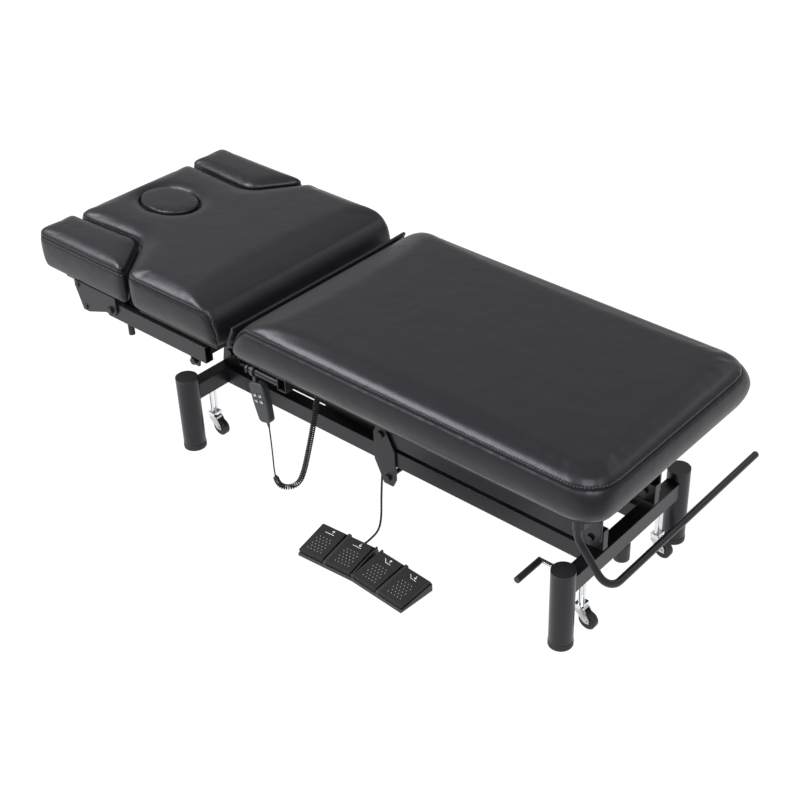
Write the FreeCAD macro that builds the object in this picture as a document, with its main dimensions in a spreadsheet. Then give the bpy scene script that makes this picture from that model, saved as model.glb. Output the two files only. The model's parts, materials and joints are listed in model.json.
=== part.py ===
"""Electric treatment table: parametric model, millimetres.

X runs along the table with the foot end at +X, Y across it and Z up. Sizes are given from the middle
of the base on the floor. The finished model stands with the middle of its box at the origin.
"""
import FreeCAD
import Part
import math
import os
import re
from types import SimpleNamespace

import Sketcher
from FreeCAD import Placement, Rotation, Vector

# Driving dimensions, in millimetres and degrees
SIZES = {
    # Base
    "leg_span_x": (1332, "leg centres along the table"),
    "leg_span_y": (520, "leg centres across the table"),
    "leg_d": (64, "leg tube diameter"),
    "leg_wall": (2.5, "leg tube wall"),
    "leg_height": (240, "floor to the top of the leg cap"),
    "foot_height": (16, "rubber foot height"),
    "foot_lip": (1, "rubber foot beyond the leg tube"),
    "cap_height": (4, "leg cap above the tube"),
    "cap_plug": (14, "depth of the cap's plug"),
    "tube_w": (40, "base tube width"),
    "tube_h": (50, "base tube height"),
    "tube_wall": (2, "base tube wall"),
    "tube_z": (160, "underside of the base tubes"),
    "rail_y": (108, "middle of a base rail from the centre line"),
    # Fits
    "run_gap": (0.05, "radial clearance of a turning or sliding fit"),
    "seat_gap": (0.3, "clearance between a moving face and its seat"),
    "weld_gap": (0.15, "gap at a coped or plugged joint"),
    # Lift
    "pivot_z": (252, "height of the lift pivots, lowered"),
    "foot_arm_x": (-37, "base pivot of the foot lift arms"),
    "head_arm_x": (-650, "base pivot of the head lift arms"),
    "arm_length": (692, "pivot to pivot of a lift arm"),
    "arm_h": (60, "lift arm height"),
    "arm_w": (20, "lift arm width"),
    "arm_wall": (2.5, "lift arm wall"),
    "arm_tail": (26, "lift arm beyond its base pivot"),
    "arm_nose": (34, "lift arm beyond its top pivot"),
    "arm_gap": (2, "side clearance between arms and plates"),
    "arm_bush_d": (26, "bush in a lift arm"),
    "arm_bar": (30, "side of the bar that joins two arms"),
    "foot_bar_x": (345, "bar of the foot arms"),
    "head_bar_x": (-520, "bar of the head arms"),
    "plate_t": (6, "bracket plate thickness"),
    "post_w": (54, "width of the middle pivot plates"),
    "eye_r": (24, "plate around a pivot"),
    "lug_x": (-16, "lift actuator pin on the base"),
    "lug_z": (115, "height of the lift actuator pin"),
    "lug_pin_d": (14, "lift actuator pin diameter"),
    "lug_slack": (3.4, "slack of the rod eye on the lift actuator pin"),
    "pivot_d": (12, "pivot bolt diameter"),
    "head_d": (22, "bolt head across corners"),
    "head_h": (7, "bolt head height"),
    # Castors
    "castor_y": (174, "castor stem from the centre line"),
    "stem_d": (10, "castor stem rod diameter"),
    "stem_pitch": (16, "spacing of the twin stem rods"),
    "swivel_d": (12, "castor swivel pin diameter"),
    "castor_trail": (24, "wheel axle behind the swivel"),
    "wheel_d": (50, "castor wheel diameter"),
    "wheel_w": (18, "castor wheel width"),
    "wheel_z": (5, "wheel above the floor, raised"),
    "axle_d": (8, "castor axle diameter"),
    "fork_t": (2.5, "castor fork sheet"),
    "fork_z": (63, "top of the castor fork, raised"),
    "stem_head_h": (12, "castor stem head height"),
    "bridge_z": (178, "underside of the stem bridge, raised"),
    "bridge_t": (6, "stem bridge thickness"),
    "shaft_d": (12, "castor shaft diameter"),
    "shaft_back": (12, "castor shaft from the tube's middle"),
    "lever_y": (213, "castor lever from the centre line"),
    "lever_length": (100, "castor lever length"),
    "lever_w": (10, "castor lever width"),
    "lever_t": (6, "castor lever thickness"),
    "lever_grip_l": (92, "castor lever grip length"),
    "lever_grip_d": (18, "castor lever grip diameter"),
    "finger_d": (5, "lifting finger diameter"),
    "finger_l": (16, "lifting finger length"),
    "finger_rise": (30, "lifting finger above level, raised"),
    "bearing_y": (143, "shaft bearing from the centre line"),
    "bearing_t": (6, "shaft bearing thickness"),
    # Control box and inlets
    "box_x": (-200, "middle of the control box"),
    "box_l": (200, "control box length"),
    "box_h": (40, "control box height"),
    "gland_x": (-60, "pedal cord gland"),
    "gland_d": (14, "cord gland diameter"),
    "gland_l": (14, "cord gland length"),
    "inlet_d": (44, "mains inlet can diameter"),
    "inlet_l": (56, "mains inlet can length"),
    # Upper frame
    "frame_z": (428, "underside of the upper frame, lowered"),
    "frame_h": (40, "upper frame tube height"),
    "frame_w": (30, "upper frame tube width"),
    "frame_wall": (2, "upper frame tube wall"),
    "head_tube_x": (-195, "head cross tube of the upper frame"),
    "head_tube_y": (330, "half length of the head cross tube"),
    "mid_tube_x": (250, "middle cross tube of the upper frame"),
    "gusset_top": (255, "gusset reach along the rail"),
    "gusset_foot": (108, "gusset reach along its lower edge"),
    "hook_d": (20, "handset pin diameter"),
    "hook_l": (112, "handset pin length"),
    "hook_y": (318, "handset pin from the centre line"),
    "socket_y": (200, "handset cord socket from the centre line"),
    "socket_d": (22, "handset cord socket diameter"),
    "socket_l": (16, "handset cord socket length"),
    # Paper bar
    "bar_d": (19, "paper bar diameter"),
    "bar_top_x": (729, "upright of the paper bar"),
    "bar_y": (300, "upright of the paper bar from the centre line"),
    "bar_knee_z": (398, "knee of the paper bar"),
    "bar_x": (822, "straight run of the paper bar"),
    "bar_z": (286, "height of the paper bar, lowered"),
    "bar_end_y": (385, "free end of the paper bar"),
    "bar_bend": (48, "bend radius of the paper bar"),
    "sleeve_wall": (4, "paper bar sleeve wall"),
    # Cushions and boards
    "board_t": (12, "board thickness"),
    "board_in": (20, "board inside the cushion's edge"),
    "cushion_h": (125, "cushion height at the crown"),
    "seam_h": (99, "cushion underside to its seam"),
    "pad_tuck": (6, "how far a cushion's underside is drawn in"),
    "seam_in": (1, "how far a cushion's seam is drawn in"),
    "crown_in": (42, "crown of a cushion inside its edge"),
    "arm_crown_in": (30, "crown of an armrest inside its edge"),
    "cushion_w": (700, "width of the leg cushion"),
    "back_w": (712, "width of the backrest cushion and over the armrests"),
    "leg_foot": (811, "foot end of the leg cushion"),
    "leg_full": (9, "fullness of the leg cushion's sides at mid height"),
    "leg_head": (-385, "head end of the leg cushion, underside"),
    "leg_lean": (70, "lean of the leg cushion's head end"),
    "leg_roll": (40, "roll of the leg cushion's head end at its crown"),
    "leg_foot_r": (95, "foot corners of the leg cushion"),
    "leg_foot_full": (38, "how much tighter the foot corners are at mid height"),
    "leg_head_r": (38, "head corners of the leg cushion"),
    "back_gap": (-404, "gap end of the backrest cushion, underside"),
    "back_lean": (-15, "lean of the backrest cushion's gap end"),
    "back_roll": (-62, "roll of the backrest cushion's gap end at its crown"),
    "back_gap_r": (22, "gap corners of the backrest cushion"),
    "shoulder_x": (-742, "shoulders of the backrest cushion"),
    "shoulder_r": (22, "shoulder corners"),
    "shoulder_slant": (0.73, "run of a shoulder along the table per unit across it"),
    "neck_r": (70, "hollow corners beside the armrests"),
    "neck_w": (400, "width of the head part at its neck"),
    "head_w": (428, "width of the head part at its end"),
    "head_end": (1127, "head end of the backrest cushion"),
    "head_r": (22, "corners of the head part"),
    "plug_x": (-969, "middle of the face hole"),
    "plug_l": (194, "face hole length"),
    "plug_w": (144, "face hole width"),
    "plug_gap": (0.8, "gap around the face plug"),
    "plug_ledge": (12, "board left under the face plug's edge"),
    "flap_t": (12, "gap flap thickness along the table"),
    "flap_foot": (20, "foot of the gap flap above the cushion's underside"),
    "flap_h": (66, "gap flap height"),
    "flap_lean": (28, "lean of the gap flap"),
    "flap_in": (0.5, "foot of the gap flap inside the leg cushion's end"),
    "arm_x0": (-1129, "head end of an armrest"),
    "arm_side": (8, "gap between an armrest and the backrest cushion"),
    "arm_r": (24, "outer corners of an armrest"),
    "arm_foot_r": (16, "outer corner at the armrest's foot end"),
    # Backrest frame
    "hinge_x": (-235, "backrest hinge along the table"),
    "hinge_z": (452, "backrest hinge height, lowered"),
    "hinge_pin_d": (16, "backrest hinge pin diameter"),
    "hinge_hub_d": (28, "backrest hinge hub"),
    "hinge_arm_y": (56, "middle of a hinge arm from the centre line"),
    "hinge_arm_t": (12, "hinge arm thickness"),
    "hinge_arm_w": (28, "hinge arm width"),
    "hinge_arm_r": (196, "swing radius of a hinge arm"),
    "hinge_drop": (75, "hinge arm below level at rest"),
    "back_rail_y": (342, "outer side of a backrest rail"),
    "back_rail_w": (25, "backrest rail width"),
    "back_rail_h": (50, "backrest rail height"),
    "back_rail_drop": (10, "backrest rail below the board"),
    "back_tube_w": (24, "backrest cross tube width"),
    "back_tube_x": (-480, "cross tube at the hinge end"),
    "back_mid_x": (-645, "middle cross tube"),
    "back_head_x": (-808, "cross tube at the head end"),
    "back_rail_end": (-866, "head end of a backrest rail"),
    "shaft_x": (-525, "cross shaft of the backrest"),
    "shaft_z": (392, "height of the cross shaft"),
    "cross_shaft_d": (16, "cross shaft and crank pin diameter"),
    "tab_w": (40, "drop tab width"),
    "peg_x": (-790, "peg under a backrest rail"),
    "peg_d": (18, "peg diameter"),
    "peg_l": (38, "peg length"),
    # Armrest brackets
    "arm_pivot_x": (-844, "armrest pivot along the table"),
    "arm_pivot_z": (436, "armrest pivot height, lowered"),
    "arm_plate_t": (5, "plate under an armrest"),
    "arm_plate_l": (190, "plate length under an armrest"),
    "arm_tab_t": (6, "armrest tab thickness"),
    "tab_link_x": (-958, "lower bolt of an armrest tab"),
    "tab_link_z": (404, "height of that bolt"),
    # Actuators
    "act_tail_z": (392, "height of the backrest actuator's tail pin"),
    "crank_x": (-216, "backrest actuator's pin on the hinge arms"),
    "crank_z": (344, "height of that pin"),
    "act_plate_y": (24, "actuator bracket plate from the centre line"),
    "act_tube_d": (36, "actuator tube"),
    "act_rod_d": (20, "actuator rod"),
    "act_eye_d": (32, "actuator eye"),
    "act_eye_w": (40, "actuator eye width"),
    "act_box": (44, "actuator gearbox height"),
    "act_box_w": (40, "actuator gearbox width"),
    "act_box_l": (58, "actuator gearbox length"),
    "back_tube_l": (330, "backrest actuator's tube from its pin"),
    "lift_tube_l": (236, "lift actuator's tube from its pin"),
    "motor_d": (42, "backrest motor diameter"),
    "motor_l": (96, "backrest motor length"),
    "can_d": (62, "lift motor can diameter"),
    "can_l": (92, "lift motor can below the gearbox"),
    "act_lug_z": (180, "lift actuator's pin on the foot arms"),
    "slot_in": (1.5, "rod slot inside the crank pin's place"),
    "slot_out": (12.5, "rod slot beyond the crank pin's place"),
    "slot_low": (17.5, "rod slot below the crank pin's place"),
    "slot_high": (1.5, "rod slot above the crank pin's place"),
    "slot_wall": (8, "wall around the rod slot"),
    # Handset
    "set_w": (54, "handset width"),
    "set_low_w": (42, "handset width at its lower end"),
    "set_low_r": (13, "lower corners of the handset"),
    "set_top_r": (14, "upper corners of the handset"),
    "set_edge": (4, "handset edge rounding"),
    "set_h": (120, "handset height"),
    "set_t": (22, "handset depth"),
    "set_r": (7, "how far the hanging neck reaches into the handset"),
    "set_tilt": (12, "lean of the hanging handset"),
    "set_x": (-299, "handset's top along the table"),
    "set_z": (409, "handset's top, lowered"),
    "ring_w": (10, "handset hanging ring width"),
    "ring_wall": (5, "handset hanging ring wall"),
    "key_w": (15, "handset button width"),
    "key_h": (11, "handset button height"),
    "key_t": (4, "handset button depth"),
    "key_out": (1.2, "handset button beyond the case"),
    "key_room": (1.4, "room behind a button"),
    "key_pitch_x": (20, "button spacing across"),
    "key_pitch_z": (18, "button spacing along"),
    "key_z": (36, "first buttons below the handset's top"),
    "relief_d": (9, "strain relief diameter"),
    "relief_l": (18, "strain relief length"),
    "relief_tip": (5.6, "strain relief diameter at its tip"),
    # Foot control
    "pad_x": (102, "front middle of the foot control"),
    "pad_y": (-416, "front middle of the foot control, across"),
    "pad_yaw": (3.8, "turn of each half of the foot control"),
    "pad_w": (182, "width of half the foot control"),
    "relief_x": (57, "cord exit from the middle of the foot control"),
    "pad_depth": (116, "depth of the foot control"),
    "pad_front": (8, "front height of the foot control's base"),
    "pad_back": (24, "rear height of the foot control's base"),
    "pedal_front": (22, "front height of a pedal"),
    "pedal_back": (41, "rear height of a pedal"),
    "pedal_t": (9, "pedal thickness at its front"),
    "pedal_chamfer": (10, "chamfer at a pedal's rear edge"),
    "pedal_in": (3, "pedal inside the base's edge"),
    "rib_w": (10, "rib between two pedals"),
    "rib_low": (3, "rib below a pedal's top"),
    "pedal_gap": (2, "gap beside a pedal"),
    "pedal_pin_d": (5, "pedal pin diameter"),
    "pedal_pin_in": (12, "pedal pin from the back of the base"),
    "pedal_pin_z": (30.5, "height of the pedal pin"),
    "pedal_front_y": (432, "front corners of the foot control from the centre line"),
    # Cords
    "cord_d": (6, "cord diameter"),
    "curl_d": (4, "curly cord diameter"),
    "curl_r": (6.5, "curl radius at the cord's middle"),
    "curl_pitch": (6, "curl spacing along the cord"),
}

OVER = 1.0
# A sketch starts as a rough ring with rough holes, and its constraints draw it into place
FIRST_RADIUS = 100
FIRST_HOLE = 5
# How much of the shorter run beside a bend its arc may take
ARC_SHARE = 0.45
TURN = {"X": Rotation(Vector(0, 1, 0), 90), "Y": Rotation(Vector(1, 0, 0), -90), "Z": Rotation()}
SIDES = {"near": -1, "far": 1}
ENDS = {"head": -1, "foot": 1}

# Shared places, written once as formulas of the sheet
ORIGIN_X = "(bar_x + bar_d / 2 + arm_x0) / 2"
ORIGIN_Y = "(bar_end_y - pedal_front_y) / 2"
LEG_X = "leg_span_x / 2"
LEG_Y = "leg_span_y / 2"
TUBE_TOP = "(tube_z + tube_h)"
SHAFT_Z = "(tube_z + tube_h / 2)"
RAIL_OUT = "(rail_y + tube_w / 2)"
RAIL_IN = "(rail_y - tube_w / 2)"
FOOT_ARM_OUT = f"({RAIL_OUT} - arm_gap)"
FOOT_ARM_IN = f"({FOOT_ARM_OUT} - arm_w)"
HEAD_PLATE_IN = f"({FOOT_ARM_IN} - arm_gap - plate_t)"
HEAD_ARM_OUT = f"({HEAD_PLATE_IN} - arm_gap)"
HEAD_ARM_IN = f"({HEAD_ARM_OUT} - arm_w)"
FRAME_TOP = "(frame_z + frame_h)"
BACK_RAIL_TOP = f"({FRAME_TOP} - back_rail_drop)"
BACK_RAIL_LOW = f"({BACK_RAIL_TOP} - back_rail_h)"
BACK_RAIL_IN = "(back_rail_y - back_rail_w)"

doc = FreeCAD.newDocument("TreatmentTable")
sheet = doc.addObject("Spreadsheet::Sheet", "Sizes")
for row, (alias, (value, meaning)) in enumerate(SIZES.items(), 1):
    sheet.set(f"A{row}", meaning)
    sheet.set(f"B{row}", str(value))
    sheet.setAlias(f"B{row}", alias)
doc.recompute()
d = SimpleNamespace(**{alias: float(sheet.get(alias)) for alias in SIZES})
nodes = {}


# Small tools
def formula(text):
    """Point every size in a formula at its cell."""
    return re.sub(r"[a-z][a-z0-9_]*", lambda m: f"Sizes.{m[0]}" if m[0] in SIZES else m[0], str(text))


def bind(obj, **terms):
    for prop, text in terms.items():
        obj.setExpression(prop.replace("__", "."), formula(text))
    return obj


def put(obj, x, y, z, turn=TURN["Z"]):
    obj.Placement = Placement(Vector(), turn)
    return bind(obj, Placement__Base__x=f"{x} - {ORIGIN_X}", Placement__Base__y=f"{y} - {ORIGIN_Y}",
                Placement__Base__z=z)


def box(x0, x1, y0, y1, z0, z1):
    solid = doc.addObject("Part::Box", "Box")
    bind(solid, Length=f"{x1} - ({x0})", Width=f"{y1} - ({y0})", Height=f"{z1} - ({z0})")
    return put(solid, x0, y0, z0)


def rod(axis, x, y, z, length, diameter, turn=None):
    solid = doc.addObject("Part::Cylinder", "Rod")
    bind(solid, Height=length, Radius=f"({diameter}) / 2")
    return put(solid, x, y, z, turn or TURN[axis])


def hexagon(axis, x, y, z, length, corners):
    solid = doc.addObject("Part::Prism", "Hexagon")
    solid.Polygon = 6
    bind(solid, Height=length, Circumradius=f"({corners}) / 2")
    return put(solid, x, y, z, TURN[axis])


def fuse(*solids):
    result = doc.addObject("Part::MultiFuse", "Fuse")
    result.Shapes = list(solids)
    return result


def cut(base, *tools):
    result = doc.addObject("Part::Cut", "Cut")
    result.Base = base
    result.Tool = tools[0] if len(tools) == 1 else fuse(*tools)
    return result


def rounded(solid, radius, edges):
    result = doc.addObject("Part::Fillet", "Rounded")
    result.Base = solid
    doc.recompute()
    result.Edges = [(edge, radius, radius) for edge in edges]
    return result


def span(side, inner, outer):
    """The two Y limits of a piece that lies between two distances from the centre line."""
    return (inner, outer) if side > 0 else (f"-({outer})", f"-({inner})")


def hollow(axis, x0, x1, y0, y1, z0, z1, wall):
    """A rectangular tube, open at both ends."""
    grow = {a: f"+ ({wall})" for a in "XYZ"}
    grow[axis] = f"- {OVER}"
    shrink = {a: g.replace("+", "~").replace("-", "+").replace("~", "-") for a, g in grow.items()}
    return cut(box(x0, x1, y0, y1, z0, z1),
               box(f"{x0} {grow['X']}", f"{x1} {shrink['X']}", f"{y0} {grow['Y']}", f"{y1} {shrink['Y']}",
                   f"{z0} {grow['Z']}", f"{z1} {shrink['Z']}"))


def plate(outline, side, inner, thick, holes=()):
    """A flat plate in an upright X-Z plane, drawn as a sketch and padded across the table."""
    body = doc.addObject("PartDesign::Body", "Plate")
    sketch = body.newObject("Sketcher::SketchObject", "Outline")
    sketch.AttachmentSupport = [(next(f for f in body.Origin.OriginFeatures if f.Role == "XZ_Plane"), "")]
    sketch.MapMode = "FlatFace"
    low = span(side, inner, f"{inner} + ({thick})")[0]
    bind(sketch, AttachmentOffset__Base__z=f"-({low})")
    count = len(outline)
    turns = [2 * math.pi * i / count for i in range(count)]
    start = [Vector(FIRST_RADIUS * math.cos(a), FIRST_RADIUS * math.sin(a), 0) for a in turns]
    for i in range(count):
        sketch.addGeometry(Part.LineSegment(start[i], start[(i + 1) % count]))
    for i in range(count):
        sketch.addConstraint(Sketcher.Constraint("Coincident", i, 2, (i + 1) % count, 1))
    spots = [(i, 1, start[i], at) for i, at in enumerate(outline)]
    for i, (x, z, diameter) in enumerate(holes):
        ring = sketch.addGeometry(Part.Circle(Vector(FIRST_HOLE * i, 0, 0), Vector(0, 0, 1), FIRST_HOLE))
        size = sketch.addConstraint(Sketcher.Constraint("Radius", ring, FIRST_HOLE))
        sketch.setExpression(f"Constraints[{size}]", formula(f"({diameter}) / 2"))
        spots.append((ring, 3, Vector(10 * i, 0, 0), (x, z)))
    for geometry, point, guess, at in spots:
        for kind, now, text in zip(("DistanceX", "DistanceY"), (guess.x, guess.y), at):
            place = sketch.addConstraint(Sketcher.Constraint(kind, -1, 1, geometry, point, now))
            sketch.setExpression(f"Constraints[{place}]", formula(text))
    pad = body.newObject("PartDesign::Pad", "Pad")
    pad.Profile = sketch
    pad.Reversed = True
    bind(pad, Length=thick)
    return put(body, 0, 0, 0)


def bolt(side, x, z, inner, outer, diameter="pivot_d", ends="both"):
    """A cross bolt from one distance to another, with a hexagon at its ends."""
    low, high = span(side, inner, outer)
    at_low = ends == "both" or (ends == "inner") == (side > 0)
    at_high = ends == "both" or (ends == "inner") != (side > 0)
    solids = [rod("Y", x, low, z, f"{high} - ({low})", diameter)]
    if at_low:
        solids.append(hexagon("Y", x, f"{low} - head_h", z, "head_h", "head_d"))
    if at_high:
        solids.append(hexagon("Y", x, high, z, "head_h", "head_d"))
    return fuse(*solids)


def node(label, *solids):
    """Keep one sub-part, a single solid or a group of them, under its own name."""
    if len(solids) == 1:
        part = solids[0]
    else:
        part = doc.addObject("Part::Compound", label)
        part.Links = list(solids)
    part.Label = label
    nodes[label] = part


def feature(label, *shapes):
    """Keep a sub-part whose shape is worked out from the sheet's values."""
    part = doc.addObject("Part::Feature", label)
    part.Shape = shapes[0] if len(shapes) == 1 else Part.makeCompound(list(shapes))
    shift = Vector(-(d.bar_x + d.bar_d / 2 + d.arm_x0) / 2, -(d.bar_end_y - d.pedal_front_y) / 2, 0)
    part.Placement = Placement(shift, Rotation()).multiply(part.Shape.Placement)
    part.Label = label
    nodes[label] = part


# Base: legs, tubes, brackets and bolts
def make_base():
    legs, caps, feet, cross, rails = [], [], [], [], []
    for end in (-1, 1):
        x = f"{end} * {LEG_X}"
        for side in (-1, 1):
            y = f"{side} * {LEG_Y}"
            bore = "leg_d - 2 * leg_wall"
            legs.append(cut(rod("Z", x, y, "foot_height", "leg_height - foot_height - cap_height", "leg_d"),
                            rod("Z", x, y, f"foot_height - {OVER}", "leg_height", bore)))
            caps.append(fuse(rod("Z", x, y, "leg_height - cap_height", "cap_height", "leg_d"),
                             rod("Z", x, y, "leg_height - cap_height - cap_plug",
                                 "cap_height / 2 + cap_plug",
                                 f"{bore} - 2 * weld_gap")))
            foot = rod("Z", x, y, "0", "foot_height", "leg_d + 2 * foot_lip")
            feet.append(rounded(foot, d.foot_height / 8, (1, 3)))
        cross.append(base_cross_tube(end, x))
    for side in (-1, 1):
        y0, y1 = span(side, RAIL_IN, RAIL_OUT)
        rails.append(hollow("X", f"tube_w / 2 - {LEG_X}", f"{LEG_X} - tube_w / 2", y0, y1, "tube_z",
                            TUBE_TOP,
                            "tube_wall"))
    node("base_legs", *legs)
    node("leg_caps", *caps)
    node("leg_feet", *feet)
    node("base_cross_tubes", *cross)
    node("base_side_rails", *rails)


def base_cross_tube(end, x):
    x0 = f"{x} - tube_w / 2"
    x1 = f"{x} + tube_w / 2"
    tube = hollow("Y", x0, x1, f"-{LEG_Y}", LEG_Y, "tube_z", TUBE_TOP, "tube_wall")
    tools = [rod("Z", x, f"{side} * {LEG_Y}", f"tube_z - {OVER}", f"tube_h + {2 * OVER}",
                 "leg_d + 2 * weld_gap")
             for side in (-1, 1)]
    for side in (-1, 1):
        for half in (-1, 1):
            y = f"{side} * castor_y + {half} * stem_pitch / 2"
            tools.append(rod("Z", x, y, f"tube_z - {OVER}", f"tube_wall + {2 * OVER}",
                             "stem_d + 2 * run_gap"))
    y0, y1 = span(-end, f"lever_y - lever_w / 2 - {OVER}", f"lever_y + lever_w / 2 + {OVER}")
    tools.append(box(f"{x0} - {OVER}", f"{x0} + tube_wall + {OVER}", y0, y1,
                     f"{SHAFT_Z} - lever_t / 2 - {OVER}", f"{TUBE_TOP} - tube_wall - {OVER}"))
    return cut(tube, *tools)


def make_base_fittings():
    brackets, bolts = [], []
    bolt_hole = "pivot_d + 2 * weld_gap"
    for side in (-1, 1):
        middle = [("lug_x - eye_r * 2 / 3", "lug_z - eye_r"), ("lug_x + eye_r * 2 / 3", "lug_z - eye_r"),
                  ("lug_x + post_w / 2", "lug_z"), ("lug_x + post_w / 2", TUBE_TOP),
                  ("foot_arm_x + post_w / 2", "pivot_z"), ("foot_arm_x + post_w / 4", "pivot_z + eye_r"),
                  ("foot_arm_x - post_w / 4", "pivot_z + eye_r"), ("foot_arm_x - post_w / 2", "pivot_z"),
                  ("foot_arm_x - post_w / 2", "tube_z"), ("lug_x - post_w / 2", "lug_z")]
        brackets.append(plate(middle, side, RAIL_OUT, "plate_t",
                              [("foot_arm_x", "pivot_z", bolt_hole),
                               ("lug_x", "lug_z", "lug_pin_d + 2 * weld_gap")]))
        head = [(f"-{LEG_X} - tube_w / 2", TUBE_TOP), ("head_arm_x + eye_r * 3 / 2", TUBE_TOP),
                ("head_arm_x + eye_r", "pivot_z + eye_r"), ("head_arm_x - eye_r", "pivot_z + eye_r")]
        brackets.append(plate(head, side, HEAD_PLATE_IN, "plate_t", [("head_arm_x", "pivot_z", bolt_hole)]))
        bolts.append(bolt(side, "foot_arm_x", "pivot_z", f"{FOOT_ARM_IN} - seat_gap",
                          f"{RAIL_OUT} + plate_t",
                          ends="outer"))
        bolts.append(bolt(side, "head_arm_x", "pivot_z", f"{HEAD_ARM_IN} - seat_gap",
                          f"{HEAD_PLATE_IN} + plate_t"))
        for end in (-1, 1):
            x = f"{end} * {LEG_X}"
            y = f"{side} * bearing_y"
            block = box(f"{x} - tube_w / 2 + tube_wall", f"{x} + tube_w / 2 - tube_wall",
                        f"{y} - bearing_t / 2",
                        f"{y} + bearing_t / 2", "tube_z + tube_wall", f"{TUBE_TOP} - tube_wall")
            bore = rod("Y", f"{x} - shaft_back", f"{y} - bearing_t", SHAFT_Z, "2 * bearing_t",
                       "shaft_d + 2 * run_gap")
            brackets.append(cut(block, bore))
    reach = f"{RAIL_OUT} + plate_t"
    bolts.append(fuse(rod("Y", "lug_x", f"-({reach})", "lug_z", f"2 * ({reach})", "lug_pin_d"),
                      hexagon("Y", "lug_x", f"-({reach}) - head_h", "lug_z", "head_h", "head_d"),
                      hexagon("Y", "lug_x", reach, "lug_z", "head_h", "head_d")))
    node("base_brackets", *brackets)
    node("base_bolts", *bolts)
    node("control_box", box("box_x - box_l / 2", "box_x + box_l / 2", f"-{RAIL_IN}", RAIL_IN,
                            "tube_z + tube_wall", "tube_z + tube_wall + box_h"))
    gland = rod("Z", "gland_x", "-rail_y", "tube_z - gland_l", "gland_l", "gland_d")
    can = rod("Z", LEG_X, "0", "tube_z - inlet_l", "inlet_l", "inlet_d")
    node("cable_fittings", rounded(gland, d.gland_d / 8, (3,)), rounded(can, d.inlet_d / 5, (3,)))


# Castors: lever shafts, stems, forks and wheels
def make_castors():
    for end_name, end in ENDS.items():
        tube_x = f"{end} * {LEG_X}"
        shaft_x = f"({tube_x} - shaft_back)"
        lever_side = -end
        y0, y1 = span(lever_side, "-castor_y - finger_d", "lever_y + lever_w / 2")
        pieces = [rod("Y", shaft_x, y0, SHAFT_Z, f"{y1} - ({y0})", "shaft_d")]
        a0, a1 = span(lever_side, "lever_y - lever_w / 2", "lever_y + lever_w / 2")
        pieces.append(box(f"{shaft_x} - lever_length", shaft_x, a0, a1,
                          f"{SHAFT_Z} - lever_t / 2", f"{SHAFT_Z} + lever_t / 2"))
        for side in (-1, 1):
            pieces.append(rod("Z", shaft_x, f"{side} * castor_y", SHAFT_Z, "finger_l", "finger_d",
                              Rotation(Vector(0, 1, 0), 90 - d.finger_rise)))
        node(f"castor_lever_{end_name}", fuse(*pieces))
        g0, g1 = span(lever_side, "lever_y + lever_w / 2", "lever_y + lever_w / 2 + lever_grip_l")
        grip = rod("Y", f"{shaft_x} - lever_length + lever_grip_d / 2", g0, SHAFT_Z, f"{g1} - ({g0})",
                   "lever_grip_d")
        node(f"lever_grip_{end_name}", rounded(grip, d.lever_grip_d / 4, (1, 3)))
        node(f"castor_stems_{end_name}", *[castor_stem(tube_x, f"{side} * castor_y") for side in (-1, 1)])
        for side_name, side in SIDES.items():
            y = f"{side} * castor_y"
            node(f"castor_fork_{end_name}_{side_name}", castor_fork(tube_x, y))
            node(f"castor_wheel_{end_name}_{side_name}", castor_wheel(tube_x, y))


def castor_stem(x, y):
    top = "bridge_z + bridge_t"
    head_z = "fork_z + seat_gap"
    rods = [rod("Z", x, f"{y} + {half} * stem_pitch / 2", head_z, f"{top} - ({head_z})", "stem_d")
            for half in (-1, 1)]
    wide = "(stem_pitch / 2 + stem_d / 2)"
    bridge = box(f"{x} - stem_d / 2", f"{x} + stem_d / 2", f"{y} - {wide}", f"{y} + {wide}", "bridge_z", top)
    head = box(f"{x} - stem_d - fork_t", f"{x} + stem_d + fork_t", f"{y} - {wide} - fork_t",
               f"{y} + {wide} + fork_t", head_z, f"{head_z} + stem_head_h")
    pin = rod("Z", x, y, "fork_z - 2 * fork_t", "2 * fork_t + seat_gap + stem_head_h / 2", "swivel_d")
    return fuse(*rods, bridge, head, pin)


def castor_fork(x, y):
    axle_z = "(wheel_z + wheel_d / 2)"
    cheek_in = "(wheel_w / 2 + seat_gap * 3)"
    cheek_out = f"({cheek_in} + fork_t)"
    top = cut(box(f"{x} - swivel_d", f"{x} + castor_trail * 2 / 3", f"{y} - {cheek_out}",
                  f"{y} + {cheek_out}",
                  "fork_z - fork_t", "fork_z"),
              rod("Z", x, y, f"fork_z - fork_t - {OVER}", f"fork_t + {2 * OVER}", "swivel_d + 2 * run_gap"))
    outline = [(f"{x} - swivel_d", "fork_z"), (f"{x} + castor_trail * 2 / 3", "fork_z"),
               (f"{x} + castor_trail + axle_d", f"{axle_z} + axle_d"),
               (f"{x} + castor_trail + axle_d", f"{axle_z} - axle_d * 3 / 4"),
               (f"{x} + castor_trail - axle_d", f"{axle_z} - axle_d * 3 / 4"),
               (f"{x} - swivel_d", "fork_z - swivel_d")]
    cheeks = [plate(outline, 1, f"{y} + {cheek_in}", "fork_t"),
              plate(outline, 1, f"{y} - {cheek_out}", "fork_t")]
    axle = rod("Y", f"{x} + castor_trail", f"{y} - {cheek_out} - fork_t", axle_z,
               f"2 * ({cheek_out} + fork_t)",
               "axle_d")
    return fuse(top, *cheeks, axle)


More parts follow.
